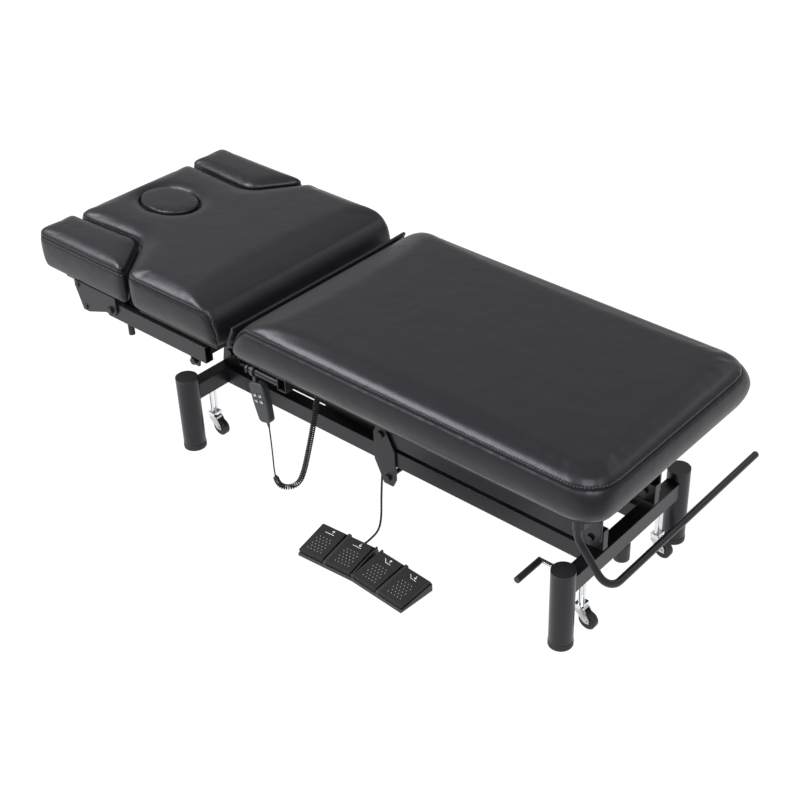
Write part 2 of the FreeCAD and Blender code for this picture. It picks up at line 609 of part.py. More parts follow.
def castor_wheel(x, y):
    axle_z = "(wheel_z + wheel_d / 2)"
    tread = rod("Y", f"{x} + castor_trail", f"{y} - wheel_w / 2", axle_z, "wheel_w", "wheel_d")
    bore = rod("Y", f"{x} + castor_trail", f"{y} - wheel_w", axle_z, "2 * wheel_w", "axle_d + 2 * run_gap")
    return cut(rounded(tread, d.wheel_w / 5, (1, 3)), bore)


# Lift arms
def lift_arm(side, pivot_x, inner, outer):
    y0, y1 = span(side, inner, outer)
    low, high = "pivot_z - arm_h / 2", "pivot_z + arm_h / 2"
    end_x = f"{pivot_x} + arm_length + arm_nose"
    shell = cut(box(f"{pivot_x} - arm_tail", end_x, y0, y1, low, high),
                box(f"{pivot_x} - arm_tail - {OVER}", f"{end_x} - arm_wall", f"{y0} + arm_wall",
                    f"{y1} - arm_wall", f"{low} + arm_wall", f"{high} - arm_wall"))
    bushes, bores = [], []
    for x in (pivot_x, f"{pivot_x} + arm_length"):
        bushes.append(rod("Y", x, y0, "pivot_z", "arm_w", "arm_bush_d"))
        bores.append(rod("Y", x, f"{y0} - {OVER}", "pivot_z", f"arm_w + {2 * OVER}",
                         "pivot_d + 2 * run_gap"))
    return cut(fuse(shell, *bushes), *bores)


def make_lift_arms():
    foot = [lift_arm(side, "foot_arm_x", FOOT_ARM_IN, FOOT_ARM_OUT) for side in (-1, 1)]
    foot.append(box("foot_bar_x - arm_bar / 2", "foot_bar_x + arm_bar / 2", f"-{FOOT_ARM_IN}", FOOT_ARM_IN,
                    "pivot_z - arm_bar / 2", "pivot_z + arm_bar / 2"))
    x0, x1 = "foot_bar_x - arm_bar / 2", "foot_bar_x + arm_bar / 2"
    low, high = "act_lug_z - pivot_d", "pivot_z - arm_bar / 2"
    lug = [(x0, high), (x1, high), (x1, low), (x0, low)]
    hole = [("foot_bar_x", "act_lug_z", "pivot_d + 2 * weld_gap")]
    foot += [plate(lug, side, "act_plate_y", "plate_t", hole) for side in (-1, 1)]
    foot.append(rod("Y", "foot_bar_x", "-act_plate_y - plate_t", "act_lug_z", "2 * (act_plate_y + plate_t)",
                    "pivot_d"))
    node("foot_lift_arms", *foot)
    head = [lift_arm(side, "head_arm_x", HEAD_ARM_IN, HEAD_ARM_OUT) for side in (-1, 1)]
    head.append(box("head_bar_x - arm_bar / 2", "head_bar_x + arm_bar / 2", f"-{HEAD_ARM_IN}", HEAD_ARM_IN,
                    "pivot_z - arm_bar / 2", "pivot_z + arm_bar / 2"))
    node("head_lift_arms", *head)


# Upper frame
def make_upper_frame():
    head_x0, head_x1 = "head_tube_x - frame_w / 2", "head_tube_x + frame_w / 2"
    foot_x0, foot_x1 = "bar_top_x - frame_w / 2", "bar_top_x + frame_w / 2"
    wall = "frame_wall"
    tubes = [hollow("Y", head_x0, head_x1, "-head_tube_y", "head_tube_y", "frame_z", FRAME_TOP, wall)]
    foot_tube = hollow("Y", foot_x0, foot_x1, "-bar_y", "bar_y", "frame_z", FRAME_TOP, wall)
    sleeve = rod("Z", "bar_top_x", "-bar_y", "frame_z", "frame_h", "bar_d + 2 * sleeve_wall")
    bore = rod("Z", "bar_top_x", "-bar_y", f"frame_z - {OVER}", f"frame_h + {2 * OVER}",
               "bar_d + 2 * weld_gap")
    tubes.append(cut(fuse(foot_tube, sleeve), bore))
    for side in (-1, 1):
        y0, y1 = span(side, f"{RAIL_OUT} - frame_w", RAIL_OUT)
        tubes.append(hollow("X", head_x1, foot_x0, y0, y1, "frame_z", FRAME_TOP, wall))
    gap = f"({RAIL_OUT} - frame_w)"
    tubes.append(hollow("Y", "mid_tube_x - frame_w / 2", "mid_tube_x + frame_w / 2", f"-{gap}", gap,
                        "frame_z",
                        FRAME_TOP, wall))
    node("upper_frame", *tubes)


def make_upper_fittings():
    brackets, bolts = [], []
    hole = "pivot_d + 2 * weld_gap"
    foot_x = "(foot_arm_x + arm_length)"
    head_x = "(head_arm_x + arm_length)"
    gusset = [(f"{foot_x} - gusset_top", FRAME_TOP), (f"{foot_x} - gusset_foot", "pivot_z - plate_t / 3"),
              (f"{foot_x} - eye_r", "pivot_z - eye_r"), (f"{foot_x} + eye_r * 3 / 4", "pivot_z - eye_r"),
              (f"{foot_x} + eye_r * 4 / 3", "pivot_z"), (f"{foot_x} + eye_r * 4 / 3", FRAME_TOP)]
    hanger = [(f"{head_x} - eye_r * 2", "frame_z"), (f"{head_x} - eye_r * 3 / 4", "pivot_z - eye_r"),
              (f"{head_x} + eye_r * 3 / 4", "pivot_z - eye_r"), (f"{head_x} + eye_r * 2", "frame_z")]
    face = "head_tube_x - frame_w / 2"
    hub = "hinge_hub_d / 2"
    lug = [(face, f"hinge_z - {hub}"), (face, f"hinge_z + {hub}"), (f"hinge_x - {hub}", f"hinge_z + {hub}"),
           (f"hinge_x - {hub}", f"hinge_z - {hub}")]
    tail_x0, tail_x1 = "mid_tube_x - act_eye_d / 2", "mid_tube_x + act_eye_d / 2"
    tail_low = "act_tail_z - act_eye_d / 2"
    tail = [(tail_x0, "frame_z"), (tail_x0, tail_low), (tail_x1, tail_low), (tail_x1, "frame_z")]
    lug_in = "(hinge_arm_y - hinge_arm_t / 2 - arm_gap - plate_t)"
    lug_out = "(hinge_arm_y + hinge_arm_t / 2 + arm_gap)"
    pin_hole = [("hinge_x", "hinge_z", "hinge_pin_d + 2 * weld_gap")]
    for side in (-1, 1):
        brackets.append(plate(gusset, side, RAIL_OUT, "plate_t", [(foot_x, "pivot_z", hole)]))
        brackets.append(plate(hanger, side, HEAD_PLATE_IN, "plate_t", [(head_x, "pivot_z", hole)]))
        brackets.append(plate(lug, side, lug_in, "plate_t", pin_hole))
        brackets.append(plate(lug, side, lug_out, "plate_t", pin_hole))
        brackets.append(plate(tail, side, "act_plate_y", "plate_t", [("mid_tube_x", "act_tail_z", hole)]))
        bolts.append(bolt(side, foot_x, "pivot_z", f"{FOOT_ARM_IN} - seat_gap", f"{RAIL_OUT} + plate_t"))
        bolts.append(bolt(side, head_x, "pivot_z", f"{HEAD_ARM_IN} - seat_gap", f"{HEAD_PLATE_IN} + plate_t",
                          ends="inner"))
        y0, y1 = span(side, lug_in, f"{lug_out} + plate_t")
        bolts.append(rod("Y", "hinge_x", y0, "hinge_z", f"{y1} - ({y0})", "hinge_pin_d"))
    bolts.append(rod("Y", "mid_tube_x", "-act_plate_y - plate_t", "act_tail_z",
                     "2 * (act_plate_y + plate_t)",
                     "pivot_d"))
    node("upper_brackets", *brackets)
    node("upper_bolts", *bolts)
    pin_z = "(frame_z + frame_h / 3)"
    pin = rod("X", f"{face} - hook_l", "-hook_y", pin_z, "hook_l", "hook_d")
    cap = hexagon("X", f"{face} - hook_l - head_h", "-hook_y", pin_z, "head_h", "head_d + head_h")
    node("handset_hook", fuse(pin, cap))
    socket = rod("Z", "head_tube_x", "-socket_y", "frame_z - socket_l", "socket_l", "socket_d")
    node("handset_socket", rounded(socket, d.socket_d / 8, (3,)))


# Bent tubes and cords
def unit(v):
    return v / v.Length


def bent_path(points, radius=None):
    """Straight runs joined by tangent arcs; with no radius, each arc is as large as its runs allow."""
    edges, radii, start = [], [], points[0]
    for before, corner, after in zip(points, points[1:], points[2:]):
        a, b = unit(corner - before), unit(after - corner)
        half = a.getAngle(b) / 2
        shorter = min((corner - before).Length, (after - corner).Length)
        r = radius or ARC_SHARE * shorter / math.tan(half)
        reach = r * math.tan(half)
        enter, leave = corner - a * reach, corner + b * reach
        middle = corner + unit(b - a) * (r / math.cos(half) - r)
        edges += [Part.LineSegment(start, enter).toShape(), Part.Arc(enter, middle, leave).toShape()]
        radii.append(r)
        start = leave
    edges.append(Part.LineSegment(start, points[-1]).toShape())
    return Part.Wire(edges), radii


def pipe(path, diameter):
    first = path.Edges[0]
    start = first.valueAt(first.FirstParameter)
    ring = Part.Wire(Part.makeCircle(diameter / 2, start, first.tangentAt(first.FirstParameter)))
    return path.makePipeShell([ring], True, False)


def make_paper_bar():
    top = Vector(d.bar_top_x, -d.bar_y, d.frame_z + d.frame_h)
    knee = Vector(d.bar_top_x, -d.bar_y, d.bar_knee_z)
    elbow = Vector(d.bar_x, -d.bar_y, d.bar_z)
    end = Vector(d.bar_x, d.bar_end_y, d.bar_z)
    path, _ = bent_path([top, knee, elbow, end], d.bar_bend)
    bar = pipe(path, d.bar_d)
    rim = max(bar.Edges, key=lambda e: e.CenterOfMass.y)
    feature("paper_bar", bar.makeFillet(d.bar_d / 4, [rim]))


def biarc(p0, t0, p1, t1):
    """Two tangent arcs from one point and direction to another."""
    v = p1 - p0
    both = t0 + t1
    slack = 2 * (1 - t0.dot(t1))
    if slack < 1e-9:
        reach = v.dot(v) / (4 * v.dot(t1))
    else:
        reach = (math.sqrt(v.dot(both) ** 2 + slack * v.dot(v)) - v.dot(both)) / slack
    knee0, knee1 = p0 + t0 * reach, p1 - t1 * reach
    join = (knee0 + knee1) / 2
    arcs = []
    for start, knee, end in ((p0, knee0, join), (join, knee1, p1)):
        chord = (start + end) / 2
        rise = (knee - chord).Length
        half = (end - start).Length / 2
        radius = reach * half / rise
        bulge = radius - math.sqrt(radius ** 2 - half ** 2)
        arcs.append(Part.Arc(start, chord + (knee - chord) / rise * bulge, end).toShape())
    return arcs


def handset_route():
    """The handset cord's middle line: strain relief, hanging lead, loop and rise to the socket."""
    lean = math.radians(d.set_tilt)
    fall = d.set_h + d.relief_l
    exit_x = d.set_x + math.sin(lean) * fall
    exit_z = d.set_z - math.cos(lean) * fall
    socket = Vector(d.head_tube_x, -d.socket_y, d.frame_z - d.socket_l)
    return [Vector(exit_x, -d.hook_y, exit_z), Vector(-254, -329, 205), Vector(-240, -343, 145),
            Vector(-231, -337, 106), Vector(-215, -314, 93), Vector(-200, -292, 104),
            Vector(-193, -278, 138),
            Vector(-191, -262, 185), Vector(-191, -240, 245), Vector(-193, -216, 315),
            Vector(socket.x, socket.y, socket.z - 40), socket]


def make_handset_cord():
    route = handset_route()
    line = Part.BSplineCurve()
    line.interpolate(route)
    total = line.length()
    lead = line.length(line.FirstParameter, line.parameter(route[2]))
    tail = 4 * d.curl_d
    curled = total - lead - tail
    turns = round(curled / d.curl_pitch)
    ramp = 1.5 * d.curl_pitch
    steps = 4 * turns

    def at(s):
        u = line.parameterAtDistance(min(max(s, 0), total), line.FirstParameter)
        middle = line.value(u)
        along = Vector(*line.tangent(u)[0])
        across = unit(Vector(1, 0, 0) - along * along.x)
        inside = min(s - lead, lead + curled - s)
        if inside <= 0:
            return middle
        share = min(inside / ramp, 1)
        angle = 2 * math.pi * turns * (s - lead) / curled
        spread = across * math.cos(angle) + along.cross(across) * math.sin(angle)
        return middle + spread * d.curl_r * share * share * (3 - 2 * share)

    straight = [lead * i / 8 for i in range(8)]
    curls = [lead + curled * i / steps for i in range(steps + 1)]
    places = straight + curls + [total - tail / 2, total]
    small = d.curl_pitch / 400
    points = [at(s) for s in places]
    ways = [unit(at(s + small) - at(s - small)) for s in places]
    edges = []
    for p0, t0, p1, t1 in zip(points, ways, points[1:], ways[1:]):
        edges += biarc(p0, t0, p1, t1)
    path = Part.Wire(edges)
    inner = curled - 2 * ramp
    nearest = least_gap([at(lead + ramp + inner * i / (steps * 3)) for i in range(steps * 3)], 12)
    print(f"handset cord: {turns} curls, {path.Length:.0f} mm, least gap {nearest - d.curl_d:.2f} mm")
    feature("handset_cord", pipe(path, d.curl_d))


def least_gap(points, turn):
    """Least distance between points that lie about a turn or more apart."""
    best = math.inf
    for i, p in enumerate(points):
        for q in points[i + 3 * turn // 4:i + 3 * turn]:
            best = min(best, (p - q).Length)
    return best


def make_pedal_cord():
    gland = Vector(d.gland_x, -d.rail_y, d.tube_z - d.gland_l)
    route = [pedal_exit(d.relief_l), Vector(32, -254, 9), Vector(22, -224, 5), Vector(6, -196, 6),
             Vector(-14, -170, 15), Vector(-34, -147, 37), Vector(-49, -127, 68),
             Vector(-58, -112, 105), gland]
    path, radii = bent_path(route)
    cord = pipe(path, d.cord_d)
    ideal = math.pi * d.cord_d ** 2 / 4 * path.Length
    bends = [round(r) for r in radii]
    print(f"pedal cord: {path.Length:.0f} mm, radii {bends}, volume {cord.Volume / ideal:.4f}")
    feature("pedal_cord", cord)


# Cushions and boards
def ring(corners, inset, z):
    """A closed outline of lines and arcs, drawn in by a distance."""
    count = len(corners)
    spots = [Vector(x, y, z) for x, y, _ in corners]
    ways = [unit(spots[(i + 1) % count] - spots[i]) for i in range(count)]
    moved, arcs = [], []
    for i in range(count):
        a, b = ways[i - 1], ways[i]
        turn = a.x * b.y - a.y * b.x
        shift = (Vector(-a.y, a.x, 0) + Vector(-b.y, b.x, 0)) * inset / (1 + a.dot(b))
        corner = spots[i] + shift
        radius = max(corners[i][2] - inset, corners[i][2] / 4) if turn > 0 else corners[i][2] + inset
        half = a.getAngle(b) / 2
        reach = radius * math.tan(half)
        middle = corner + unit(b - a) * (radius / math.cos(half) - radius)
        arcs.append((corner - a * reach, middle, corner + b * reach))
    for i in range(count):
        moved.append(Part.Arc(*arcs[i]).toShape())
        moved.append(Part.LineSegment(arcs[i][2], arcs[(i + 1) % count][0]).toShape())
    return Part.Wire(moved)


# Shares of the height and of the draw-in, up a cushion's side and then over its crown
SIDE_PROFILE = ((0, 1), (0.2, 0.3), (0.5, 0), (0.8, 0))
CROWN_PROFILE = ((0.25, 0.03), (0.5, 0.13), (0.7, 0.29), (0.86, 0.49), (0.96, 0.72), (1, 1))
# The higher the power, the nearer the crown a cushion's end rolls over
ROLL_POWER = 5


def cushion(corners_at, z, crown):
    """A padded block: drawn-in sides up to the seam and a crown above it."""
    rise = d.cushion_h - d.seam_h
    sides = [(up * d.seam_h, share * d.pad_tuck) for up, share in SIDE_PROFILE]
    crowned = [(d.seam_h + up * rise, share * crown) for up, share in CROWN_PROFILE]
    rings = [ring(corners_at(h / d.cushion_h), inset, z + h)
             for h, inset in sides + [(d.seam_h, d.seam_in)] + crowned]
    return Part.makeLoft(rings, True, True)


def slab(corners, inset, z, thick):
    return Part.Face(ring(corners, inset, z)).extrude(Vector(0, 0, thick))


def oval(length, width, z, height):
    middle = Vector(d.plug_x, 0, z)
    curve = Part.Ellipse(middle + Vector(length / 2, 0, 0), middle + Vector(0, width / 2, 0), middle)
    return Part.Face(Part.Wire(curve.toShape())).extrude(Vector(0, 0, height))


def leg_corners(share):
    up = min(share * d.cushion_h / d.seam_h, 1)
    full = 4 * up * (1 - up)
    half = d.cushion_w / 2 + full * d.leg_full
    foot = d.leg_foot + full * d.leg_full
    foot_r = d.leg_foot_r - full * d.leg_foot_full
    head = d.leg_head + d.leg_lean * share + d.leg_roll * share ** ROLL_POWER
    return [(foot, -half, foot_r), (foot, half, foot_r),
            (head, half, d.leg_head_r), (head, -half, d.leg_head_r)]


def back_corners(share):
    half = d.back_w / 2
    gap = d.back_gap + d.back_lean * share + d.back_roll * share ** ROLL_POWER
    neck_x = d.shoulder_x - (half - d.neck_w / 2) * d.shoulder_slant
    right = [(gap, half, d.back_gap_r), (d.shoulder_x, half, d.shoulder_r),
             (neck_x, d.neck_w / 2, d.neck_r), (-d.head_end, d.head_w / 2, d.head_r)]
    return right + [(x, -y, r) for x, y, r in reversed(right)]


def armrest_corners(side):
    half = d.back_w / 2
    inner = d.neck_w / 2 + d.arm_side
    foot = d.shoulder_x - d.arm_side * math.hypot(1, d.shoulder_slant)
    far = [(foot, half, d.arm_foot_r), (d.arm_x0, half, d.arm_r),
           (d.arm_x0, d.head_w / 2 + d.arm_side, d.arm_r / 2),
           (foot - (half - inner) * d.shoulder_slant, inner, d.neck_r - d.arm_side)]
    return far if side > 0 else [(x, -y, r) for x, y, r in reversed(far)]


def make_cushions():
    board_z = d.frame_z + d.frame_h
    pad_z = board_z + d.board_t
    feature("leg_board", slab(leg_corners(0), d.board_in, board_z, d.board_t))
    feature("leg_cushion", cushion(leg_corners, pad_z, d.crown_in))
    hole = oval(d.plug_l + 2 * d.plug_gap, d.plug_w + 2 * d.plug_gap, pad_z - OVER, d.cushion_h + 2 * OVER)
    feature("backrest_cushion", cushion(back_corners, pad_z, d.crown_in).cut(hole))
    breathing = oval(d.plug_l - 2 * d.plug_ledge, d.plug_w - 2 * d.plug_ledge, board_z - OVER,
                     d.board_t + 2 * OVER)
    feature("backrest_board", slab(back_corners(0), d.board_in, board_z, d.board_t).cut(breathing))
    plug = oval(d.plug_l, d.plug_w, pad_z, d.cushion_h)
    rim = max(plug.Edges, key=lambda e: e.CenterOfMass.z)
    feature("face_plug", plug.makeFillet(d.plug_ledge / 2, [rim]))
    for name, side in SIDES.items():
        feature(f"{name}_armrest_cushion", cushion(lambda share: armrest_corners(side), pad_z,
                                                   d.arm_crown_in))
    low = pad_z + d.flap_foot
    high = low + d.flap_h
    half = d.cushion_w / 2 - d.leg_head_r / 4
    foot = d.leg_head + d.flap_in
    outline = [Vector(foot, -half, low), Vector(foot + d.flap_t, -half, low),
               Vector(foot + d.flap_t + d.flap_lean, -half, high), Vector(foot + d.flap_lean, -half, high)]
    flap = Part.Face(Part.makePolygon(outline + outline[:1])).extrude(Vector(0, 2 * half, 0))
    long_edges = [e for e in flap.Edges if abs(e.Length - 2 * half) < OVER]
    along = [e for e in long_edges if e.CenterOfMass.z > (low + high) / 2]
    feature("gap_flap", flap.makeFillet(d.flap_t / 3, along))


# Backrest frame and armrest brackets
def make_backrest_frame():
    tubes, pieces = [], []
    wall = "frame_wall"
    hinge_face = "back_tube_x + back_tube_w / 2"
    for side in (-1, 1):
        y0, y1 = span(side, BACK_RAIL_IN, "back_rail_y")
        rail = hollow("X", "back_rail_end", hinge_face, y0, y1, BACK_RAIL_LOW, BACK_RAIL_TOP, wall)
        b0, b1 = span(side, f"{BACK_RAIL_IN} - {OVER}", f"back_rail_y + {OVER}")
        tubes.append(cut(rail, rod("Y", "arm_pivot_x", b0, "arm_pivot_z", f"{b1} - ({b0})",
                                   "pivot_d + 2 * weld_gap")))
        tab = [("shaft_x - tab_w / 2", BACK_RAIL_LOW), ("shaft_x - tab_w / 3", "shaft_z - cross_shaft_d"),
               ("shaft_x + tab_w / 3", "shaft_z - cross_shaft_d"), ("shaft_x + tab_w / 2", BACK_RAIL_LOW)]
        tubes.append(plate(tab, side, "back_rail_y - back_rail_w / 2 - plate_t / 2", "plate_t",
                           [("shaft_x", "shaft_z", "cross_shaft_d + 2 * weld_gap")]))
        pieces.append(bolt(side, "arm_pivot_x", "arm_pivot_z", BACK_RAIL_IN,
                           "back_rail_y + 2 * seat_gap + arm_tab_t"))
        peg = rod("Z", "peg_x", f"{side} * (back_rail_y - back_rail_w / 2)", f"{BACK_RAIL_LOW} - peg_l",
                  "peg_l",
                  "peg_d")
        pieces.append(rounded(peg, d.peg_d / 5, (3,)))
    for x in ("back_tube_x", "back_mid_x", "back_head_x"):
        tubes.append(hollow("Y", f"{x} - back_tube_w / 2", f"{x} + back_tube_w / 2", f"-{BACK_RAIL_IN}",
                            BACK_RAIL_IN, "frame_z", FRAME_TOP, wall))
    node("backrest_frame", *tubes)
    reach = "back_rail_y - back_rail_w / 2 + plate_t"
    pieces.append(fuse(rod("Y", "shaft_x", f"-({reach})", "shaft_z", f"2 * ({reach})", "cross_shaft_d"),
                       hexagon("Y", "shaft_x", f"-({reach}) - head_h", "shaft_z", "head_h", "head_d"),
                       hexagon("Y", "shaft_x", reach, "shaft_z", "head_h", "head_d")))
    arm_face = "(hinge_arm_y + hinge_arm_t / 2)"
    pieces.append(rod("Y", "crank_x", f"-{arm_face}", "crank_z", f"2 * {arm_face}", "cross_shaft_d"))
    node("backrest_pins", *pieces)
    for name, side in SIDES.items():
        node(f"{name}_armrest_bracket", armrest_bracket(side))


def armrest_bracket(side):
    """The plate under an armrest with its hanging tab and the heads of the tab's bolts."""
    top = "(frame_z + frame_h + board_t)"
    low = f"({top} - arm_plate_t)"
    y0, y1 = span(side, "back_rail_y - arm_plate_l / 3", "back_rail_y + seat_gap")
    flat = box("arm_pivot_x - arm_plate_l", "arm_pivot_x + eye_r", y0, y1, low, top)
    tab = [("arm_pivot_x + eye_r", top), ("arm_pivot_x + eye_r", "arm_pivot_z"),
           ("arm_pivot_x + eye_r / 2", "arm_pivot_z - eye_r * 2 / 3"),
           ("arm_pivot_x - eye_r", "arm_pivot_z - eye_r * 2 / 3"),
           ("tab_link_x + eye_r / 2", "tab_link_z - eye_r / 2"),
           ("tab_link_x - eye_r / 2", "tab_link_z - eye_r / 2"),
           ("tab_link_x - eye_r * 3 / 2", f"{low} - eye_r / 2"), ("tab_link_x - eye_r * 3 / 2", top)]
    wing = plate(tab, side, "back_rail_y + seat_gap", "arm_tab_t",
                 [("arm_pivot_x", "arm_pivot_z", "pivot_d + 2 * run_gap")])
    face = "back_rail_y + seat_gap + arm_tab_t"
    face0, face1 = span(side, face, f"{face} + head_h / 2")
    heads = [hexagon("Y", x, face0, z, f"{face1} - ({face0})", "head_d * 3 / 4")
             for x, z in (("tab_link_x", "tab_link_z"), ("tab_link_x - eye_r", f"{low} - eye_r / 3"))]
    return fuse(flat, wing, *heads)


def make_hinge_arms():
    """Swan-neck arms with a crank: from the hinge, round the leg cushion's end, to the cross tube."""
    hinge = Vector(d.hinge_x, 0, d.hinge_z)
    pin = Vector(d.crank_x, 0, d.crank_z)
    half = d.hinge_arm_w / 2
    low_y = d.hinge_arm_y - d.hinge_arm_t / 2
    drop = math.radians(d.hinge_drop)
    spoke_end = hinge + Vector(-math.cos(drop), 0, -math.sin(drop)) * d.hinge_arm_r

    def prism(outline):
        wire = outline if isinstance(outline, Part.Wire) else Part.makePolygon(outline + outline[:1])
        return Part.Face(wire).extrude(Vector(0, d.hinge_arm_t, 0))

    def disc(radius, middle):
        return Part.Wire(Part.makeCircle(radius, middle, Vector(0, 1, 0)))

    def bar(end):
        across = unit(end - hinge).cross(Vector(0, 1, 0)) * half
        return prism([hinge + across, end + across, end - across, hinge - across])

    def sweep_point(radius, degrees):
        angle = math.radians(degrees)
        return hinge + Vector(-math.cos(angle), 0, math.sin(angle)) * radius

    low_end = -d.hinge_drop - math.degrees(half / d.hinge_arm_r)
    outer = [sweep_point(d.hinge_arm_r + half, a) for a in (low_end, low_end / 2, 0)]
    inner = [sweep_point(d.hinge_arm_r - half, a) for a in (0, low_end / 2, low_end)]
    bow = prism(Part.Wire([Part.Arc(*outer).toShape(), Part.LineSegment(outer[2], inner[0]).toShape(),
                           Part.Arc(*inner).toShape(), Part.LineSegment(inner[2], outer[0]).toShape()]))
    tube_face = d.back_tube_x + d.back_tube_w / 2
    near = d.hinge_x - d.hinge_arm_r + half
    top = d.frame_z + d.frame_h
    tongue = prism([Vector(tube_face, 0, d.hinge_z - half), Vector(near, 0, d.hinge_z - half),
                    Vector(near, 0, d.hinge_z), Vector(tube_face, 0, top)])
    blank = prism(disc(d.hinge_hub_d / 2, hinge)).fuse([bar(spoke_end), bow, tongue, bar(pin),
                                                        prism(disc(half, pin))]).removeSplitter()
    arm = blank.cut(prism(disc(d.hinge_pin_d / 2 + d.run_gap, hinge)))
    arm = arm.cut(prism(disc(d.cross_shaft_d / 2 + d.weld_gap, pin)))
    arm.translate(Vector(0, low_y, 0))
    other = arm.copy()
    other.translate(Vector(0, -2 * low_y - d.hinge_arm_t, 0))
    feature("backrest_hinge_arms", arm, other)


# Actuators
def along(tail, tip):
    """The placement that lays a piece drawn along +X from one pin towards another."""
    run = tip - tail
    return Placement(tail, Rotation(Vector(0, 1, 0), -math.degrees(math.atan2(run.z, run.x))))


def actuator_body(tube_length, motor):
    eye = cylinder(d.act_eye_d, d.act_eye_w, Vector(0, -d.act_eye_w / 2, 0), Vector(0, 1, 0))
    gearbox = Part.makeBox(d.act_box_l, d.act_box_w, d.act_box, Vector(0, -d.act_box_w / 2, -d.act_box / 2))
    tube = cylinder(d.act_tube_d, tube_length, Vector(0, 0, 0), Vector(1, 0, 0))
    bore = cylinder(d.act_rod_d + 2 * d.run_gap, tube_length, Vector(d.act_box_l, 0, 0), Vector(1, 0, 0))
    pin = cylinder(d.pivot_d + 2 * d.run_gap, 2 * d.act_eye_w, Vector(0, -d.act_eye_w, 0), Vector(0, 1, 0))
    return eye.fuse([gearbox, tube, motor]).removeSplitter().cut(bore).cut(pin)


def cylinder(diameter, length, start, way):
    return Part.makeCylinder(diameter / 2, length, start, way)


def make_actuators():
    arm_pin = Vector(d.foot_bar_x, 0, d.act_lug_z)
    base_pin = Vector(d.lug_x, 0, d.lug_z)
    place = along(arm_pin, base_pin)
    reach = (base_pin - arm_pin).Length
    can = cylinder(d.can_d, d.can_l, Vector(d.act_box_l / 2, 0, d.act_box / 2 - OVER), Vector(0, 0, 1))
    rim = max(can.Edges, key=lambda e: e.CenterOfMass.z)
    body = actuator_body(d.lift_tube_l, can.makeFillet(d.can_d / 6, [rim]))
    rod_start = d.lift_tube_l / 2
    rod_end = d.act_eye_d / 2 + d.lug_slack
    ram = cylinder(d.act_rod_d, reach - rod_start, Vector(rod_start, 0, 0), Vector(1, 0, 0))
    width = d.act_rod_d
    ring_outer = cylinder(2 * rod_end, width, Vector(reach, -width / 2, 0), Vector(0, 1, 0))
    ring_inner = cylinder(d.lug_pin_d + 2 * d.lug_slack, 2 * width, Vector(reach, -width, 0),
                          Vector(0, 1, 0))
    ram = ram.fuse(ring_outer).cut(ring_inner)
    for shape in (body, ram):
        shape.Placement = place
    feature("lift_actuator", body)
    feature("lift_actuator_rod", ram)

    tail = Vector(d.mid_tube_x, 0, d.act_tail_z)
    crank_pin = Vector(d.crank_x, 0, d.crank_z)
    place = along(tail, crank_pin)
    reach = (crank_pin - tail).Length
    drop = d.act_tube_d / 2 + d.motor_d / 2 + d.act_box / 10
    motor = cylinder(d.motor_d, d.motor_l, Vector(d.act_eye_d / 2, 0, drop), Vector(1, 0, 0))
    web_start = Vector(d.act_eye_d / 2, -d.act_rod_d / 2, 0)
    web = Part.makeBox(d.act_box_l - d.act_eye_d / 2, d.act_rod_d, drop, web_start)
    body = actuator_body(d.back_tube_l, motor.fuse(web))
    low, high = -d.slot_high, d.slot_low
    pin_r = d.cross_shaft_d / 2
    rod_start = d.act_box_l + d.act_rod_d / 5
    block_x0 = reach - d.slot_in - pin_r - d.slot_wall
    block_x1 = reach + d.slot_out + pin_r + d.slot_wall
    z0 = low - pin_r - d.slot_wall
    z1 = high + pin_r + d.slot_wall
    block = Part.makeBox(block_x1 - block_x0, width, z1 - z0, Vector(block_x0, -width / 2, z0))
    slot = Part.makeBox(d.slot_in + d.slot_out + 2 * pin_r, 2 * width, high - low + 2 * pin_r,
                        Vector(reach - d.slot_in - pin_r, -width, low - pin_r))
    ram = cylinder(d.act_rod_d, block_x0 + d.slot_wall / 2 - rod_start, Vector(rod_start, 0, 0),
                   Vector(1, 0, 0))
    ram = ram.fuse(block).cut(slot)
    for shape in (body, ram):
        shape.Placement = place
    feature("back_actuator", body)
    feature("back_actuator_rod", ram)


